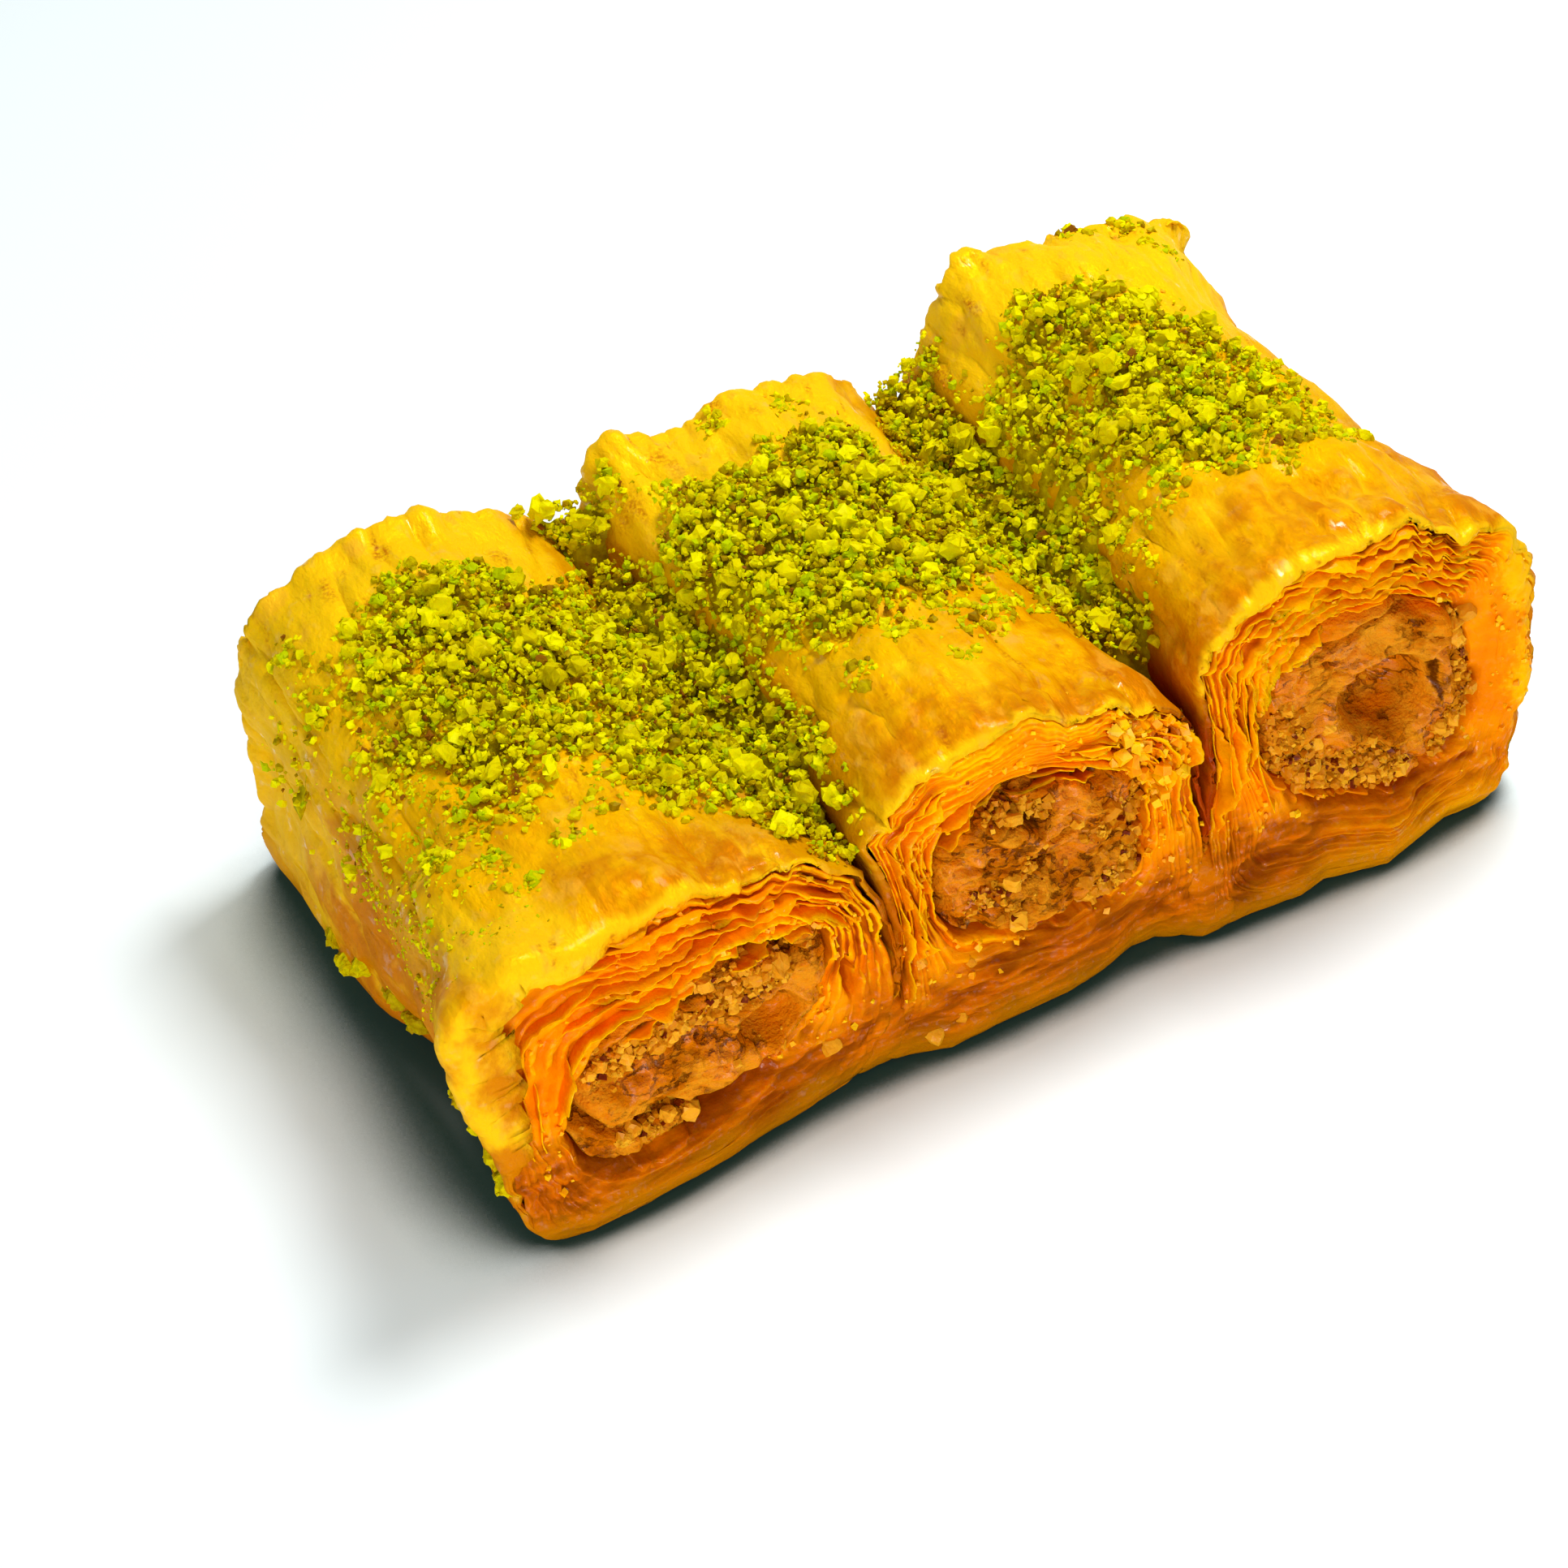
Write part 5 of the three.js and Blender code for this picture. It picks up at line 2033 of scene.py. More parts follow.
@dataclass(frozen=True)
class Crumbs:
    """Crumbs of one kind, each an uneven lump with a shape, turn and tone of its own.

    Attributes:
        name: The piece's name.
        facets: How many corners each side of the block has that a crumb is made from.
        unevenness: How far from round each lump is.
        tones: The least and most of the tone painted on a crumb.
        flatness: How much thinner than wide a crumb may be.
        seed: The random numbers' seed.
    """

    name: str
    facets: int
    unevenness: float
    tones: tuple[float, float] = (0.05, 1.0)
    flatness: float = 0.3
    seed: int = 1

    def _tree(self) -> bpy.types.NodeTree:
        """The node tree that turns points into crumbs.

        Returns:
            The tree, with inputs for the crumbs' facets, unevenness and finish.
        """
        tree = bpy.data.node_groups.new(self.name, "GeometryNodeTree")
        nodes = Nodes(tree)
        kinds = {"Geometry": "Geometry", "Facets": "Int", "Unevenness": "Float", "Finish": "Material"}
        for label, kind in kinds.items():
            tree.interface.new_socket(label, in_out="INPUT", socket_type=f"NodeSocket{kind}")
        tree.interface.new_socket("Geometry", in_out="OUTPUT", socket_type="NodeSocketGeometry")
        given = nodes.add("NodeGroupInput", {}, {})
        carried = []
        for label, kind in (("size", "FLOAT_VECTOR"), ("turn", "FLOAT_VECTOR"), ("tone", "FLOAT")):
            node = nodes.add("GeometryNodeInputNamedAttribute", {"data_type": kind}, {"Name": label})
            carried.append(node.outputs[0])
        size, turn, tone = carried
        points = nodes.add("GeometryNodeMeshToPoints", {}, {"Mesh": given.outputs["Geometry"]})
        facets = given.outputs["Facets"]
        sockets = {"Size": (1.5, 1.5, 1.5), "Vertices X": facets, "Vertices Y": facets, "Vertices Z": facets}
        block = nodes.add("GeometryNodeMeshCube", {}, sockets)
        corner = nodes.add("GeometryNodeInputPosition", {}, {}).outputs[0]
        sockets = {0: 0.45, 4: corner, 5: nodes.vector("NORMALIZE", corner)}
        rounded = nodes.add("ShaderNodeMix", {"data_type": "VECTOR"}, sockets)
        sockets = {"Geometry": block.outputs[0], "Position": rounded.outputs[1]}
        lump = nodes.add("GeometryNodeSetPosition", {}, sockets)
        sockets = {"Points": points.outputs[0], "Instance": lump.outputs[0], "Rotation": turn, "Scale": size}
        placed = nodes.add("GeometryNodeInstanceOnPoints", {}, sockets)
        real = nodes.add("GeometryNodeRealizeInstances", {}, {"Geometry": placed.outputs[0]})
        place = nodes.add("GeometryNodeInputPosition", {}, {}).outputs[0]
        scaled = nodes.vector("DIVIDE", place, size)
        own = Wire(nodes, tone) * 937.0
        sockets = {"Vector": scaled, "W": own, "Scale": 1.8, "Detail": 3.0, "Roughness": 0.75}
        noise = nodes.add("ShaderNodeTexNoise", {"noise_dimensions": "4D"}, sockets)
        centred = nodes.vector("SUBTRACT", noise.outputs[1], (0.5, 0.5, 0.5))
        sockets = {"Vector": nodes.vector("MULTIPLY", centred, size), "Scale": given.outputs["Unevenness"]}
        shift = nodes.add("ShaderNodeVectorMath", {"operation": "SCALE"}, sockets)
        sockets = {"Geometry": real.outputs[0], "Offset": shift.outputs[0]}
        moved = nodes.add("GeometryNodeSetPosition", {}, sockets)
        sockets = {"Geometry": moved.outputs[0], "Shade Smooth": False}
        faceted = nodes.add("GeometryNodeSetShadeSmooth", {}, sockets)
        sockets = {"Geometry": faceted.outputs[0], "Material": given.outputs["Finish"]}
        dressed = nodes.add("GeometryNodeSetMaterial", {}, sockets)
        nodes.add("NodeGroupOutput", {}, {"Geometry": dressed.outputs[0]})
        return tree

    def build(self, bed: Bed, material: bpy.types.Material) -> bpy.types.Object:
        """The crumbs on a bed as one mesh.

        Args:
            bed: Where they lie.
            material: Their finish.

        Returns:
            The new object, linked to the scene.
        """
        rng = np.random.default_rng(self.seed)
        places, radii = np.concatenate(bed.places), np.concatenate(bed.sizes)
        places[:, 2] = np.maximum(places[:, 2], 1.3 * radii)
        count = len(places)
        flat = 1.15 - self.flatness * rng.random((count, 3)) * np.array([0.4, 0.8, 1.4])
        size = radii[:, None] * flat * MM
        points = bpy.data.meshes.new(f"{self.name}.points")
        points.from_pydata(((places - MIDDLE) * MM).tolist(), [], [])
        for key, values in (("size", size), ("turn", rng.uniform(0, TURN, (count, 3)))):
            layer = points.attributes.new(key, "FLOAT_VECTOR", "POINT")
            layer.data.foreach_set("vector", values.reshape(-1).astype(np.float32))
        tones = self.tones[0] + (self.tones[1] - self.tones[0]) * rng.random(count)
        layer = points.attributes.new("tone", "FLOAT", "POINT")
        layer.data.foreach_set("value", tones.astype(np.float32))
        carrier = bpy.data.objects.new(f"{self.name}.carrier", points)
        bpy.context.scene.collection.objects.link(carrier)
        modifier = carrier.modifiers.new("crumbs", "NODES")
        modifier.node_group = self._tree()
        given = {"Facets": self.facets, "Unevenness": self.unevenness, "Finish": material}
        for item in modifier.node_group.interface.items_tree:
            if item.in_out == "INPUT" and item.name in given:
                modifier[item.identifier] = given[item.name]
        bpy.context.view_layer.update()
        evaluated = carrier.evaluated_get(bpy.context.evaluated_depsgraph_get())
        mesh = bpy.data.meshes.new_from_object(evaluated)
        mesh.name = self.name
        bpy.data.objects.remove(carrier)
        made = bpy.data.objects.new(self.name, mesh)
        bpy.context.scene.collection.objects.link(made)
        return made


# ---------------------------------------------------------------- the piece of baklava


@dataclass(frozen=True)
class Grade:
    """One size of ground pistachio, and how many of its crumbs lie where.

    Attributes:
        name: The piece's name.
        facets: How many corners each side of the block has that a crumb is made from.
        size: The least and most of a crumb's radius.
        heaped: How many crumbs lie in the drift.
        strewn: How many lie round it.
        trailed: How many lie down the left roll's outer side.
        clumped: How many each loose clump has.
        flatness: How much thinner than wide a crumb may be.
        tones: The least and most of the tone painted on a crumb.
        widespread: Whether the crumbs round the drift lie far from it, in patches.
        placed: Crumbs laid one by one, as their places and radii.
    """

    name: str
    facets: int
    size: tuple[float, float]
    heaped: int
    strewn: int
    trailed: int
    clumped: int = 0
    flatness: float = 0.6
    tones: tuple[float, float] = (0.0, 1.0)
    widespread: bool = False
    placed: tuple[tuple[tuple[float, float, float], ...], tuple[float, ...]] | None = None


@dataclass
class Baklava:
    """The three rolls with their fillings, and the pistachio and crumbs on them.

    Attributes:
        rolls: The rolls, from the left one to the right one.
        mounds: The mounds of the pistachio drift.
        grades: The sizes of ground pistachio.
        clumps: Places (x, y) of loose clumps of crumbs on the skins.
        side_lumps: Sticky lumps on the left roll's outer side, as (y, z) and how far out each is.
        foot_nuts: Pieces of nut on the front face's soaked foot, as x, z and size.
        seed: The random numbers' seed.
    """

    rolls: tuple[Roll, ...]
    mounds: tuple[Mound, ...]
    grades: tuple[Grade, ...]
    clumps: tuple[tuple[float, float], ...]
    side_lumps: tuple[tuple[float, float, float], ...]
    foot_nuts: tuple[tuple[float, float, float], ...]
    seed: int = 5

    def __post_init__(self) -> None:
        """Makes the finishes."""
        self.skin_finish = SkinFinish("syrupy_phyllo_skin", 0.0004, 0.2, 0.05, 0.08, 0.12).material()
        self.sheet_finish = SheetFinish("phyllo_sheet_edges", 0.001, 0.25, 0.1, 0.12, 0.08).material()
        self.filling_finish = FillingFinish("folded_pastry_filling", 0.0009, 0.15, 0.1, 0.16).material()
        self.pistachio = CrumbFinish("ground_pistachio", 0.0006, 0.2, 0.03, 0.4).material()
        self.nut = CrumbFinish(
            "crushed_nut", 0.0008, 0.25, 0.15, 0.2,
            dark=shade(0.36, 0.09, 0.0), middle=shade(0.6, 0.2, 0.003), bright=shade(0.84, 0.36, 0.012),
            skin=shade(0.14, 0.015, 0.001), skin_share=0.16, fresh_share=0.0,
        ).material()
        self.pastry_crumb = CrumbFinish(
            "pastry_crumb", 0.0008, 0.35, 0.3, 0.3,
            dark=shade(0.85, 0.24, 0.0), middle=shade(1.0, 0.36, 0.0), bright=shade(1.0, 0.52, 0.0),
            skin=shade(0.45, 0.08, 0.002), skin_share=0.05, fresh_share=0.0,
        ).material()

    def build_rolls(self) -> list[Array]:
        """Builds the skins, cut faces, loose sheets and fillings.

        Returns:
            The points of each skin's outer side.
        """
        skins = []
        for roll in self.rolls:
            skins.append(roll.skin()[0])
            skin = roll.skin_surface().to_object(f"skin_{roll.name}", self.skin_finish)
            finish_piece(skin, "phyllo", f"roll_{roll.name}")
            for side in Side:
                label = side.name.lower()
                face = roll.face_surface(side).to_object(f"cut_{label}_{roll.name}", self.sheet_finish)
                finish_piece(face, "phyllo")
                top, sides = (11, 12) if side is Side.FRONT else (6, 6)
                loose = roll.loose_sheets(side, top, sides)
                finish_piece(loose.to_object(f"sheets_{label}_{roll.name}", self.sheet_finish), "phyllo")
            filling = roll.filling.surface().to_object(f"folded_filling_{roll.name}", self.filling_finish)
            finish_piece(filling, "nut_filling", f"filling_{roll.name}")
        joints = {
            "left": SyrupJoint(LEFT_MIDDLE, 9.0, 1.7, 601),
            "right": SyrupJoint(MIDDLE_RIGHT, 9.0, 1.9, 602),
        }
        for label, joint in joints.items():
            bead = joint.surface(Side.FRONT).joined([joint.surface(Side.BACK)])
            finish_piece(bead.to_object(f"syrup_joint_{label}", self.sheet_finish), "phyllo")
        return skins

    def build_nuts(self) -> None:
        """Strews crushed nuts over the fillings' ends and sets the large pieces of nut in them."""
        rng = np.random.default_rng(self.seed)
        fine, coarse = Bed(), Bed()
        for roll in self.rolls:
            for side in Side:
                points, normals, weights = roll.filling.crumb_bed(side)
                share = 1.0 if side is Side.FRONT else 0.7
                fine.strew(rng, points, normals, weights**1.5, int(900 * share), (0.09, 0.38), 0.5)
                coarse.strew(rng, points, normals, weights**1.5, int(46 * share), (0.32, 0.75), 0.6)
                if side is Side.FRONT:
                    for x, z, size in roll.filling.nuts:
                        away = np.hypot(points[:, 0] - x, points[:, 2] - z)
                        nearest = points[int(np.argmin(away))]
                        coarse.put([(x, nearest[1] + 0.1, z)], [size * 0.62])
        foot = Bed()
        for x, z, size in self.foot_nuts:
            shift = float(foot_shift(Side.FRONT, np.array(x), np.array(z)))
            foot.put([(x, shift + 0.15, z)], [size * 0.75])
        kinds = (
            (Crumbs("crushed_nuts_fine", 2, 2.2, seed=21), fine),
            (Crumbs("crushed_nuts_coarse", 4, 1.3, (0.35, 1.0), seed=22), coarse),
            (Crumbs("foot_nuts", 6, 0.7, (0.5, 1.0), seed=23), foot),
        )
        for crumbs, bed in kinds:
            finish_piece(crumbs.build(bed, self.nut), "nut_filling")

    def build_drift(self, skins: Sequence[Array]) -> None:
        """Heaps ground pistachio over the rolls, dense in the drift and sparse round it.

        Args:
            skins: The points of each skin's outer side.
        """
        rng = np.random.default_rng(self.seed + 1)
        drift = Drift(self.mounds, Ground.over(skins))
        core = drift.core().to_object("pistachio_core", self.pistachio)
        finish_piece(core, "pistachio", "pistachio_drift")
        xs, ys = np.meshgrid(np.arange(-1, 80, 0.4), np.arange(0.5, LENGTH - 0.5, 0.4), indexing="ij")
        x, y = xs.ravel(), ys.ravel()
        thick = drift.thickness(x, y)
        heap = np.stack([x, y, drift.top(x, y)], -1)
        up = np.tile([0.0, 0.0, 1.0], (len(x), 1))
        dense = smooth(thick, -0.3, 1.1)
        skin_points = np.concatenate([s[12:-12:2, ::2].reshape(-1, 3) for s in skins])
        skin_normals = np.concatenate([surface_normals(s)[12:-12:2, ::2].reshape(-1, 3) for s in skins])
        px, py, pz = skin_points.T
        outside = np.minimum(drift.thickness(px, py), 0)
        upward = smooth(skin_normals[:, 2], 0.1, 0.5)
        fringe = np.exp(outside * 0.7) * upward
        wide_fringe = np.exp(outside * 0.4) * upward
        wide_fringe = wide_fringe * (0.1 + 1.5 * RandomField(93, 2.6, 3).at(skin_points).clip(0, 1))
        trail = (1 - smooth(px, 3.5, 7.0)) * smooth(pz, 13, 19)
        trail = trail * (1 - smooth(py, 20, 32)) * smooth(py, 0, 12)
        trail = trail * (0.25 + 1.5 * RandomField(92, 2.8, 3).at(skin_points).clip(0, 1))
        fringe = fringe * (0.2 + 1.3 * RandomField(91, 3.4, 2).at(skin_points).clip(0, 1))
        near = smooth(skin_normals[:, 2], 0.4, 0.8) * (1 - smooth(py, 6, 18))
        near = near + 1.6 * trail * (1 - smooth(py, 14, 26))
        near = near + 0.06 * smooth(pz, 2, 5)
        for index, grade in enumerate(self.grades):
            bed = Bed()
            bed.strew(rng, heap, up, dense, grade.heaped, grade.size, 0.35, 0.3)
            around = wide_fringe if grade.widespread else fringe
            bed.strew(rng, skin_points, skin_normals, around, grade.strewn, grade.size, 0.35, 0.2)
            bed.strew(rng, skin_points, skin_normals, trail, grade.trailed, grade.size, 0.35, 0.3)
            if grade.placed:
                bed.put(*grade.placed)
            if grade.clumped:
                self._add_clumps(rng, bed, drift, grade)
            crumbs = Crumbs(grade.name, grade.facets, 2.9, grade.tones, grade.flatness, seed=31 + index)
            finish_piece(crumbs.build(bed, self.pistachio), "pistachio")
        lumps_bed = Bed()
        left = skins[0]
        for y, z, out in self.side_lumps:
            away = np.abs(left[..., 1] - y) + np.abs(left[..., 2] - z) + 50 * (left[..., 0] > 10)
            place = left.reshape(-1, 3)[int(np.argmin(away))]
            lumps_bed.put([place + [0.15 - out, 0, 0], place + [0.35 - out, 1.2, -0.5]], [0.95, 0.75])
        lump = Crumbs("side_lumps", 6, 1.8, (0.05, 0.3), seed=41)
        finish_piece(lump.build(lumps_bed, self.pistachio), "pistachio")
        pastry = Bed()
        pastry.strew(rng, skin_points, skin_normals, near, 3200, (0.07, 0.26), 0.4)
        self._add_flakes(rng, pastry)
        flake = Crumbs("pastry_crumbs", 2, 2.4, seed=51)
        finish_piece(flake.build(pastry, self.pastry_crumb), "phyllo")

    def _add_clumps(self, rng: np.random.Generator, bed: Bed, drift: Drift, grade: Grade) -> None:
        """Lays small clumps of crumbs on the skins, away from the drift.

        Args:
            rng: Random numbers.
            bed: Where the crumbs are laid.
            drift: The drift, for the ground's height.
            grade: What the crumbs are.
        """
        for x, y in self.clumps:
            px = x + rng.normal(0, 0.7, grade.clumped)
            py = y + rng.normal(0, 0.7, grade.clumped)
            radius = rng.uniform(*grade.size, grade.clumped)
            pz = drift.ground.at(px, py) + radius * 0.5
            bed.put(np.stack([px, py, pz], -1), radius)

    def _add_flakes(self, rng: np.random.Generator, bed: Bed) -> None:
        """Lays crumbs of pastry in the cut faces, most at the middle roll's upper right corner.

        Args:
            rng: Random numbers.
            bed: Where the crumbs are laid.
        """
        for roll in self.rolls:
            for side in Side:
                face = roll.face_surface(side)
                points, lift = face.points, face.painted["lift"]
                proud = (np.abs(points[:, 1] - side.y) < 1.4) * (lift > 0.5) * smooth(points[:, 2], 4, 9)
                normals = np.tile([0.0, side.sign, 0.0], (len(points), 1))
                bed.strew(rng, points, normals, proud + 1e-9, 170, (0.08, 0.3), 0.5)
                if roll.name == "middle" and side is Side.FRONT:
                    away_x = (points[:, 0] - 51.5) / 3.0
                    away_z = (points[:, 2] - 20.5) / 3.2
                    corner = np.exp(-(away_x**2) - away_z**2)
                    bed.strew(rng, points, normals, proud * corner + 1e-9, 150, (0.2, 0.6), 0.3)


@dataclass(frozen=True)
class Studio:
    """A white table under soft light, and the camera.

    Attributes:
        target: The point on the camera's axis, in millimetres.
        azimuth: Degrees that the camera stands round from looking along +Y.
        elevation: Degrees that it stands above the table.
        roll: Degrees that it is turned about its axis.
        distance: Millimetres from the target.
        lens: The focal length in millimetres, for a sensor 36 mm wide.
    """

    target: tuple[float, float, float] = (32.07747, 18.97061, 12.0)
    azimuth: float = -26.93624
    elevation: float = 42.50889
    roll: float = -4.52664
    distance: float = 287.71563
    lens: float = 90.0

    def build(self) -> None:
        """Sets up the table, the light and the camera."""
        self._camera()
        self._table()
        self._world()
        self._lamp("key", (110, 35, 285), 90, 0.71)
        self._lamp("fill", (-130, -250, 60), 170, 0.53)

    def _camera(self) -> None:
        """Places the camera."""
        a, e, r = (math.radians(v) for v in (self.azimuth, self.elevation, self.roll))
        back = Vector((math.sin(a) * math.cos(e), -math.cos(a) * math.cos(e), math.sin(e)))
        right = (-back).cross(Vector((0, 0, 1))).normalized()
        up = right.cross(-back)
        across = right * math.cos(r) + up * math.sin(r)
        upward = -right * math.sin(r) + up * math.cos(r)
        place = (Vector(self.target) + back * self.distance - Vector(MIDDLE)) * MM
        data = bpy.data.cameras.new("camera")
        data.sensor_width = 36.0
        data.lens = self.lens
        data.clip_start = 0.01
        data.clip_end = 5.0
        camera = bpy.data.objects.new("camera", data)
        matrix = Matrix((across, upward, back)).transposed().to_4x4()
        matrix.translation = place
        camera.matrix_world = matrix
        bpy.context.scene.collection.objects.link(camera)
        bpy.context.scene.camera = camera

    def _table(self) -> None:
        """Lays the table under the pastry, with a painted contact shadow where the two meet.

        The painted shadow reaches further on the left, where the key lamp's light doesn't fall.
        """
        material = bpy.data.materials.new("white_table")
        material.use_nodes = True
        nodes = Nodes(material.node_tree)
        shader = nodes.add("ShaderNodeBsdfPrincipled", {}, {"Roughness": 0.85})
        near = nodes.add("ShaderNodeAmbientOcclusion", {}, {"Distance": CONTACT_SHADOW * MM})
        wide = nodes.add("ShaderNodeAmbientOcclusion", {}, {"Distance": LEFT_SHADOW * MM})
        place = nodes.add("ShaderNodeTexCoord", {}, {}).outputs["Object"]
        across = nodes.value(nodes.add("ShaderNodeSeparateXYZ", {}, {0: place}), "X")
        right = across.step(-0.0425, -0.036)
        # Painted shadow: the table is painted near black where the pastry hides it from the sky, out to
        # CONTACT_SHADOW, and to LEFT_SHADOW on the left.
        clear = nodes.value(near, "AO").step(0.5, 0.8) * right
        clear = clear + nodes.value(wide, "AO").step(0.5, 0.85) * (1.0 - right)
        open_sky = nodes.value(wide, "AO").step(0.55, 1.0)
        # Painted tint: where the pastry hides more of the sky, the table is painted bluer, against the
        # orange light that the pastry throws on it.
        lit = nodes.mix(open_sky, shade(0.86, 1.0, 1.0), shade(0.93, 0.99, 1.0))
        colour = nodes.mix(clear, shade(0.01, 0.045, 0.035), lit)
        nodes.tree.links.new(colour, shader.inputs["Base Color"])
        nodes.add("ShaderNodeOutputMaterial", {}, {"Surface": shader.outputs[0]})
        mesh = bpy.data.meshes.new("table")
        corners = ((-1, -1), (1, -1), (1, 1), (-1, 1))
        points = [(x * TABLE_HALF, y * TABLE_HALF, TABLE_TOP) for x, y in corners]
        mesh.from_pydata(points, [], [(0, 1, 2, 3)])
        mesh.materials.append(material)
        table = bpy.data.objects.new("table", mesh)
        bpy.context.scene.collection.objects.link(table)

    def _world(self) -> None:
        """Fills the surroundings with white light."""
        world = bpy.data.worlds.new("studio")
        world.use_nodes = True
        background = world.node_tree.nodes["Background"]
        background.inputs[0].default_value = (0.93, 1.0, 1.0, 1.0)
        background.inputs[1].default_value = 0.48
        bpy.context.scene.world = world
        bpy.context.scene.view_settings.view_transform = "Standard"

    def _lamp(self, name: str, place: tuple[float, float, float], size: float, power: float) -> None:
        """Hangs a soft white lamp that shines on the pastry's middle.

        Args:
            name: The lamp's name.
            place: Where it hangs, in millimetres from the middle of the base.
            size: How wide it is, in millimetres.
            power: Its power in watts.
        """
        data = bpy.data.lights.new(name, "AREA")
        data.size = size * MM
        data.energy = power
        lamp = bpy.data.objects.new(name, data)
        lamp.location = Vector(place) * MM
        towards = Vector((0, 0, 0.012)) - lamp.location
        lamp.rotation_euler = towards.to_track_quat("-Z", "Y").to_euler()
        bpy.context.scene.collection.objects.link(lamp)


# ---------------------------------------------------------------- the rolls' own shapes

LEFT_MIDDLE = Seam((28.3, 30.1, 27.6), (27.75, 28.8, 26.4), 0.3)
MIDDLE_RIGHT = Seam((55.5, 56.35, 55.1), (55.35, 56.4, 55.4), 0.6)


def left_roll() -> Roll:
    """The lowest roll, whose skin folds round its front left edge.

    Returns:
        The roll.
    """
    filling = Filling(
        (14.2, 11.4), (10.2, 6.6), 0.2, 3,
        hollows=(Hollow((19.9, 10.4), (3.0, 2.3), 4.0, -0.2, 1.0),),
        grooves=(
            Groove(((11.8, 18.4), (15.4, 18.1), (17.9, 17.8), (20.9, 17.2), (22.8, 15.0)), 1.0, 2.0),
            Groove(((4.2, 10.5), (7.0, 7.1), (10.9, 6.5), (14.5, 5.3), (17.9, 5.7), (22.5, 6.9)), 0.85, 2.0),
            Groove(((9.5, 14.6), (13.0, 15.6), (17.5, 15.9)), 0.4, 0.6),
        ),
        folds=(Groove(((7.0, 9.6), (11.5, 10.0), (16.0, 8.4)), 2.6, 0.8),),
        crumbly=(
            Groove(((7.3, 12.5), (10.1, 13.2), (12.9, 13.9), (16.9, 14.3), (21.4, 14.7)), 1.7, 1.0),
            Groove(((12.0, 17.4), (15.5, 17.1), (19.5, 16.4)), 1.1, 0.8),
            Groove(((8.0, 6.3), (12.0, 5.8), (14.5, 4.9)), 0.9, 0.9),
        ),
        nuts=((16.5, 14.8, 0.9), (20.7, 15.1, 1.5), (12.4, 12.5, 1.1), (15.5, 16.8, 0.8), (17.2, 12.9, 0.8)),
    )
    return Roll(
        "left", 101,
        Section((-0.3, 28.2), (-1.9, 12), (-1.4, 24.2), (8, 25.8), (25.4, 22.4), (30.4, 13)),
        Section((0, 27.7), (-0.9, 12), (1.6, 23.5), (11, 28.5), (22.8, 25.2), (29.2, 14)),
        filling,
        curls=(
            Curl((-1.8, 18.5), 7, 8, 1.5), Curl((-1.2, 25), 4, 7, 1.2),
            Curl((2.4, 24.5), 3, 5, 0.5, Side.BACK), Curl((11.2, 28.8), 2.4, 4, 0.4, Side.BACK),
        ),
        dents=(
            Dent((17, 2), (6.5, 8), 2.2), Dent((41, 12), (9, 7), 1.8), Dent((30, 5), (9, 6), 0.6),
            Dent((11, 8), (5, 5), 1.8), Dent((38, 25.5), (5, 4), -0.7), Dent((42.5, 19), (5, 3.5), -0.7),
        ),
        melts=(
            Melt((2.0, 12), 5.5), Melt((2.5, 20), 4.5, 0.8),
            Melt((9, 20), 4.0, 0.6), Melt((25, 7), 4.5, 0.8),
        ),
        folds=(Fold((-1.4, 19), 9.5, 4.6, 0.3),),
        ridges=(
            Ridge(((-0.6, -0.5, 26.0), (1.5, 4.0, 26.0), (4.0, 9.0, 26.4)), 0.9, 0.7),
            Ridge(((-0.9, -0.5, 25.5), (-1.4, 5.0, 22.5), (-1.7, 11.0, 18.5)), 0.9, 0.8),
            Ridge(((-1.4, -0.5, 24.5), (-2.0, 2.5, 17.0), (-2.0, 1.5, 8.0)), 0.9, 0.7),
        ),
        pleats=1.3,
        right_seam=LEFT_MIDDLE,
        sheets=9,
        openness=0.7,
        slots=(Hollow((26.3, 11.2), (0.6, 2.4), 2.2, 0.1),),
    )


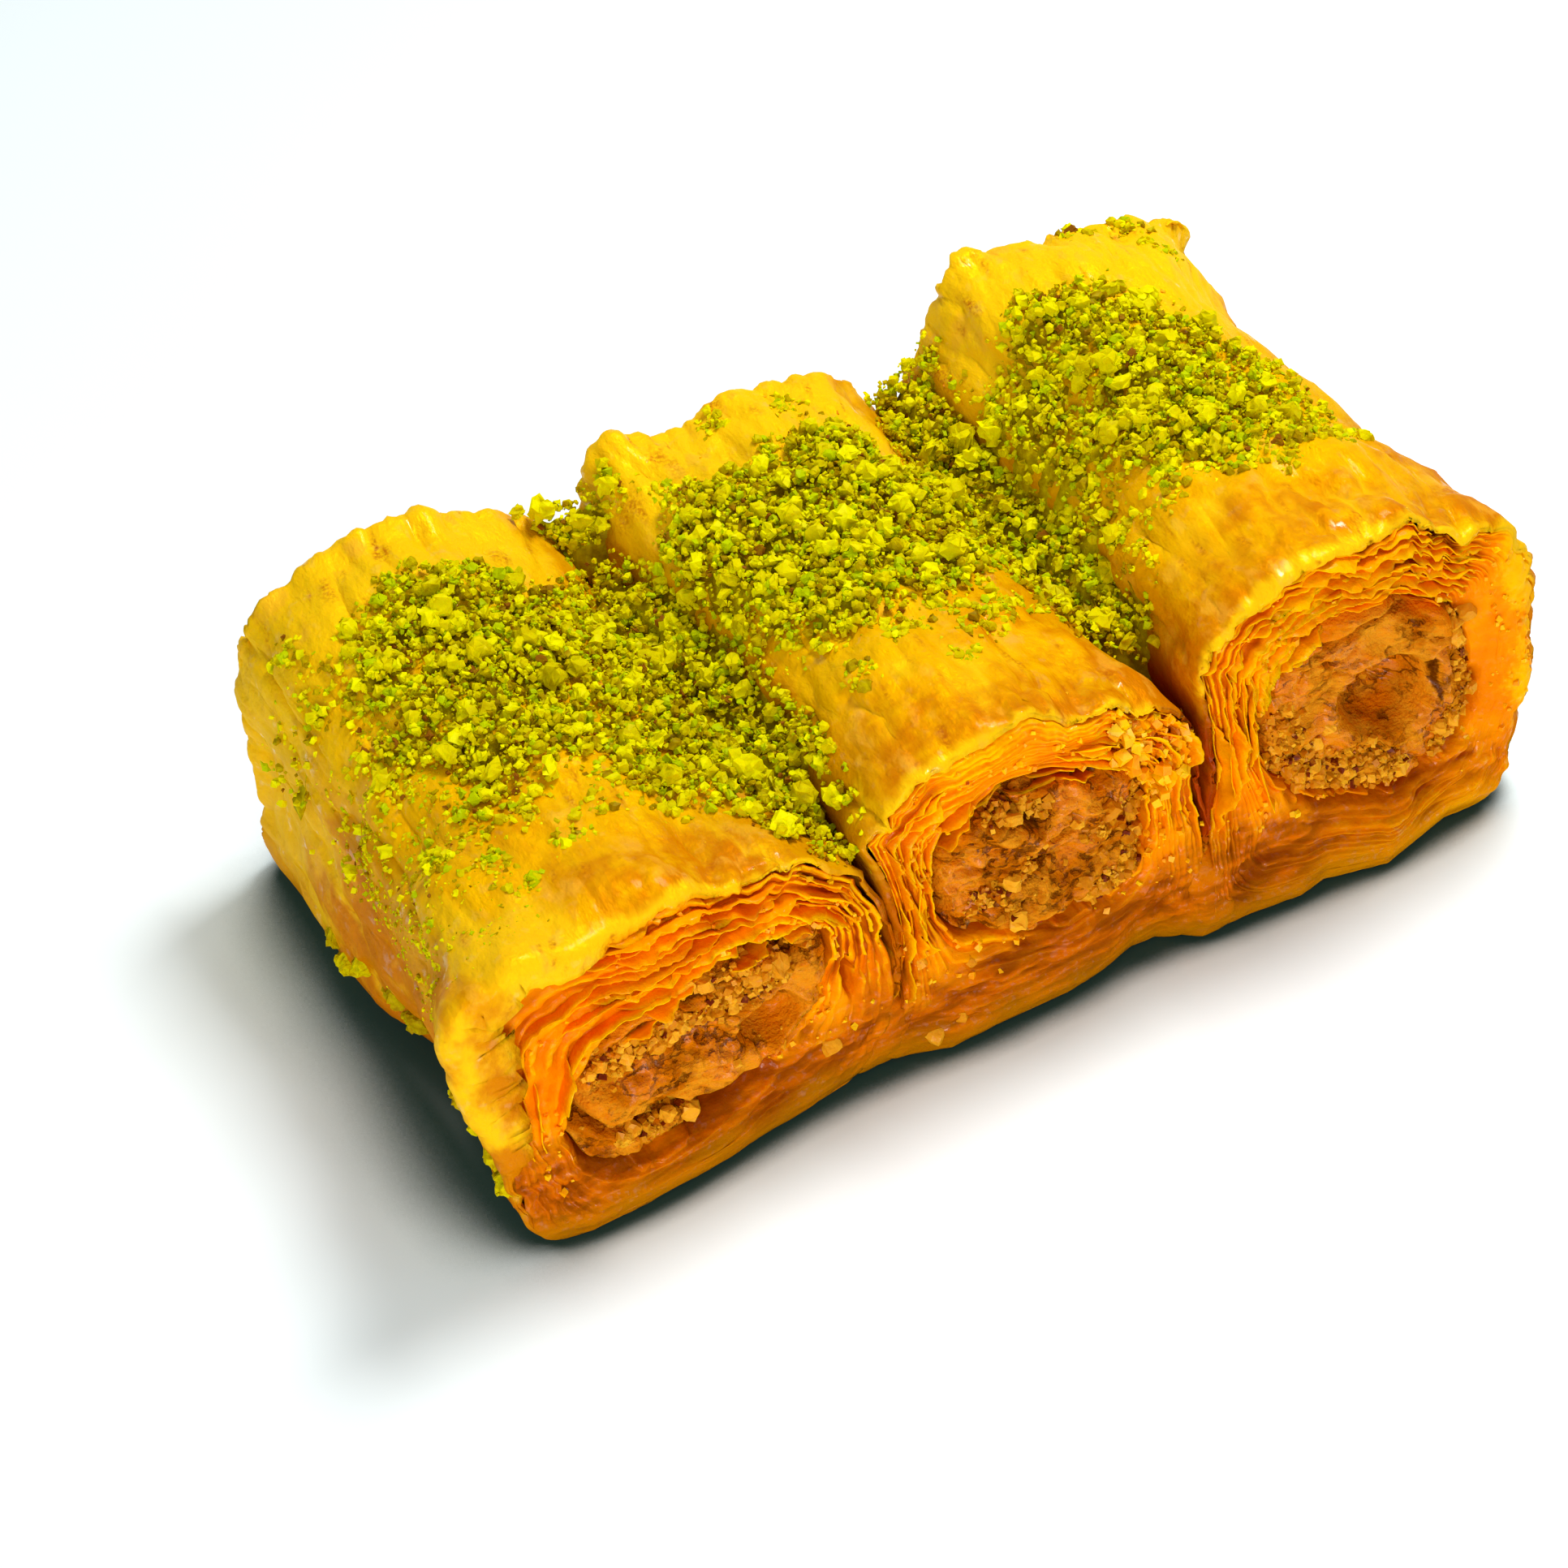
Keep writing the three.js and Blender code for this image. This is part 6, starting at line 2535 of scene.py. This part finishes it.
def middle_roll() -> Roll:
    """The middle roll, with a thick arch of sheets over its filling.

    Returns:
        The roll.
    """
    filling = Filling(
        (42.2, 15), (9, 7.6), -0.12, 4,
        hollows=(Hollow((34.6, 13.3), (0.8, 1.3), 1.8),),
        grooves=(
            Groove(
                ((34.9, 20.4), (37.7, 21.6), (40.2, 21.6), (42.5, 21.5), (45.1, 20.4), (47.5, 19.0)),
                0.85, 1.7,
            ),
            Groove(((36.1, 10.5), (39.5, 7.6), (43.2, 6.8), (44.8, 7.5), (47.2, 8.6)), 0.55, 1.2),
            Groove(((42.3, 13.8), (43.9, 13.5)), 0.35, 0.9),
            Groove(((42.6, 14.4), (45.7, 15.3), (47.2, 17.0)), 0.45, 0.7),
            Groove(((40.0, 20.6), (41.0, 19.0), (41.8, 17.3)), 0.6, 1.1),
            Groove(((49.6, 15.8), (51.0, 12.8), (50.2, 10.6)), 0.8, 1.3),
            Groove(((35.0, 17.6), (35.8, 17.3)), 0.35, 0.8),
        ),
        folds=(
            Groove(((37.2, 19.8), (39.3, 18.4), (41.2, 17.0)), 1.4, 0.9),
            Groove(((38.5, 11.4), (42.0, 10.4), (45.0, 10.4)), 2.8, 0.9),
            Groove(((44.5, 17.4), (47.5, 17.4)), 2.2, 0.7),
        ),
        crumbly=(
            Groove(((38.5, 20.3), (41.0, 19.4), (43.0, 18.8)), 1.2, 0.8),
            Groove(((51.0, 16.5), (51.6, 13.0), (49.3, 9.5), (47.2, 8.8)), 1.4, 1.0),
            Groove(((42.4, 14.7), (40.0, 13.5), (37.0, 12.6)), 0.9, 0.7),
        ),
        nuts=(
            (39.5, 10.6, 1.2), (45.5, 10.8, 1.0), (42.4, 14.7, 0.9), (47.7, 11.7, 0.9),
            (46.5, 7.4, 1.3), (50.8, 13.9, 1.1), (52.1, 12.9, 1.3),
        ),
    )
    return Roll(
        "middle", 202,
        Section((28.4, 55.5), (29.9, 13), (28.9, 23.4), (38.8, 28.8), (52.4, 23.6), (56.8, 14)),
        Section((27.8, 55.3), (28.5, 14), (30.2, 25.7), (41.2, 27.9), (51.8, 26.0), (56.5, 14)),
        filling,
        curls=(
            Curl((29.6, 23.6), 4, 5, 0.7), Curl((32.4, 27.3), 2.4, 4, 1.5, Side.BACK),
            Curl((39, 28.4), 4, 6, -0.5, Side.BACK),
        ),
        melts=(
            Melt((33, 8), 4.0, 0.8), Melt((41.5, 25.6), 6.0, 0.8),
            Melt((53.5, 9), 3.5, 0.7), Melt((33.5, 23), 3.0, 0.5),
        ),
        ridges=(
            Ridge(((31.5, 5.0, 25.0), (35.5, 3.2, 27.6), (41.0, 3.0, 28.8), (48.0, 4.0, 26.6)), 0.8, 0.45),
            Ridge(((33.0, 9.5, 26.0), (36.5, 6.5, 28.0)), 0.7, 0.35),
        ),
        left_seam=LEFT_MIDDLE,
        right_seam=MIDDLE_RIGHT,
        sheets=12,
        openness=0.9,
        slots=(Hollow((31.0, 9.6), (0.5, 1.8), 1.8, -0.3),),
        closed=(Melt((39.5, 28.0), 6.5, 0.6),),
    )


def right_roll() -> Roll:
    """The tallest roll, with many thin sheets and a deep cave in its filling.

    Returns:
        The roll.
    """
    filling = Filling(
        (70.6, 15.8), (9.4, 9.8), -0.15, 6,
        hollows=(
            Hollow((72.4, 14.8), (4.4, 3.7), 5.0, -0.45, 0.6),
            Hollow((78.5, 12.4), (1.0, 0.8), 1.8),
        ),
        grooves=(
            Groove(((65.5, 21.5), (68.5, 22.4), (72.0, 22.6), (75.0, 22.4), (77.5, 21.2)), 0.55, 1.3),
            Groove(((63.1, 10.1), (65.5, 8.0), (68.6, 6.8), (74.0, 5.9)), 0.6, 1.4),
            Groove(((72.4, 24.6), (74.5, 22.8), (76.0, 22.6)), 0.45, 0.9),
            Groove(((76.0, 16.6), (77.0, 13.0)), 0.5, 0.6),
        ),
        folds=(
            Groove(((69.0, 25.0), (71.5, 24.8)), 2.4, 1.2),
            Groove(((73.5, 20.6), (76.0, 20.0)), 1.8, 0.8),
            Groove(((76.4, 18.0), (76.8, 13.0)), 1.3, 0.7),
        ),
        crumbly=(
            Groove(((63.4, 16.3), (64.0, 13.0), (66.0, 10.2), (69.0, 9.6), (72.5, 8.0)), 2.0, 1.0),
            Groove(((77.0, 22.8), (78.6, 20.6), (79.6, 16.0), (79.2, 11.4), (77.5, 8.6)), 1.3, 1.0),
        ),
        nuts=(
            (73.7, 7.1, 1.6), (79.4, 19.4, 1.4), (64.1, 11.6, 1.2),
            (67.2, 14.0, 0.9), (66.4, 9.4, 1.1), (70.2, 9.0, 1.0),
        ),
    )
    return Roll(
        "right", 303,
        Section((55.6, 84.4), (56.5, 15), (56.6, 26.4), (68.8, 30.8), (82.1, 25.7), (86, 13)),
        Section((55.4, 85.2), (56.3, 14), (60.2, 28.2), (65.0, 31.9), (82.4, 27.1), (86.2, 15)),
        filling,
        curls=(
            Curl((56.6, 26.6), 4, 7, 0.8), Curl((85.2, 21.5), 5.5, 7, 0.9),
            Curl((63.5, 31.8), 1.8, 3, 0.8, Side.BACK), Curl((71.5, 31.4), 5, 8, -1.0, Side.BACK),
            Curl((83.0, 27.0), 2.4, 4, 1.3, Side.BACK),
        ),
        dents=(
            Dent((4, 2), (16, 5.5), -2.0, False), Dent((30.5, 25), (9.5, 8), -1.3, False),
            Dent((8, 25), (5, 6), 0.9, False),
        ),
        melts=(
            Melt((84, 17), 6.5), Melt((81, 8), 5.0, 0.9),
            Melt((83, 24), 4.0, 0.9), Melt((62, 9), 3.0, 0.5),
        ),
        ridges=(
            Ridge(((58.5, 1.5, 27.8), (63.0, 2.0, 29.6), (68.5, 2.4, 31.2)), 0.8, 0.5),
            Ridge(((76.0, 1.5, 28.6), (80.0, 6.0, 28.4)), 0.9, 0.5),
        ),
        left_seam=MIDDLE_RIGHT,
        sheets=17,
        openness=1.1,
        slots=(Hollow((60.8, 17.2), (0.8, 2.4), 3.0),),
        closed=(Melt((89, 14), 10.5), Melt((86, 23), 5.0)),
    )


MOUNDS = (
    Mound((13.2, 26.8), (11.4, 12.0), 1.9),
    Mound((2.0, 25.0), (4.4, 11.0), 0.25),
    Mound((22, 13.5), (6.5, 6.5), 1.0),
    Mound((26.1, 20.2), (5.8, 20.8), 2.3),
    Mound((36.5, 25.5), (8, 12.5), 1.9),
    Mound((45, 27.4), (9, 12), 1.9),
    Mound((55.4, 25), (5.5, 18), 2.1),
    Mound((65.5, 26.4), (11, 11.6), 1.9),
    Mound((60.0, 31.0), (3.6, 7.0), 0.35),
    Mound((71, 20.0), (8.2, 8.5), 1.4),
    Mound((28.0, 41.4), (3.4, 3.0), 1.6),
    Mound((56.6, 41.6), (3.2, 2.8), 1.6),
    Mound((4.6, 15.5), (4.8, 5.0), 0.2),
)
CLUMPS = (
    (34.4, 10.5), (44.2, 11.3), (41.8, 8.6), (59.2, 15.4), (65.3, 17.0), (66.1, 13.0), (72.6, 13.1),
    (76.2, 13.0), (38.6, 12.4), (47.0, 12.6), (40.6, 13.6), (63.0, 14.2), (69.5, 14.0), (74.5, 15.4),
    (78.2, 17.2), (10.4, 9.0), (39.9, 42.0), (45.8, 41.0), (73.1, 42.4), (77.8, 42.4), (78.6, 38.8),
    (2.9, 12.7), (2.1, 14.2), (2.5, 38.2), (26.6, 42.2), (28.6, 41.6), (30.6, 39.8), (33.5, 37.6),
    (75.5, 11.6), (79.0, 13.8), (6.5, 6.5), (13.5, 10.5), (61.2, 13.4), (67.6, 15.6), (68.4, 12.4),
    (70.6, 11.2), (71.8, 15.0), (73.4, 12.0), (76.6, 15.6), (64.0, 15.4), (45.2, 14.0), (43.4, 14.6),
    (48.6, 14.8), (50.2, 13.6), (15.0, 13.0), (18.2, 9.4), (9.0, 12.4), (5.0, 9.6),
)
SIDE_LUMPS = (
    (28.9, 5.7, 0.0), (27.0, 4.6, 0.3), (24.0, 7.0, 0.0), (19.6, 7.4, 0.2), (17.1, 6.3, 0.9),
    (8.3, 9.2, 0.0), (5.4, 10.2, 0.2), (5.0, 7.5, 0.2), (2.4, 6.5, 0.2), (1.2, 5.0, 0.2),
)
FOOT_NUTS = (
    (34.9, 3.1, 1.0), (32.7, 1.9, 1.35), (73.7, 7.0, 0.5),
    (24.4, 5.4, 1.2), (32.1, 9.4, 0.8), (36.2, 7.3, 0.7),
)
VALLEY_CRUMBS = (
    (
        (25.6, 42.5, 25.1), (23.7, 42.5, 25.7), (26.9, 42.6, 22.6),
        (27.8, 42.4, 23.2), (55.6, 42.4, 22.6), (56.6, 42.3, 23.3),
    ),
    (0.9, 0.55, 0.8, 0.6, 0.7, 0.8),
)
GRADES = (
    Grade("pistachio_coarse", 4, (0.5, 0.98), 330, 34, 4, tones=(0.25, 0.75), placed=VALLEY_CRUMBS),
    Grade("pistachio_medium", 3, (0.28, 0.5), 2850, 400, 300, clumped=7),
    Grade("pistachio_fine", 2, (0.17, 0.32), 9300, 2200, 3100, clumped=26),
    Grade("pistachio_meal", 2, (0.09, 0.18), 6000, 4800, 4600, flatness=0.5),
    Grade("pistachio_dust", 2, (0.07, 0.12), 600, 3200, 1500, flatness=0.5, widespread=True),
)


def main() -> None:
    """Builds the pastry and its studio."""
    logging.basicConfig(level=logging.INFO, format="%(message)s")
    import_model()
    Studio().build()
    rolls = (left_roll(), middle_roll(), right_roll())
    baklava = Baklava(rolls, MOUNDS, GRADES, CLUMPS, SIDE_LUMPS, FOOT_NUTS)
    skins = baklava.build_rolls()
    baklava.build_nuts()
    baklava.build_drift(skins)


if __name__ == "__main__":
    main()
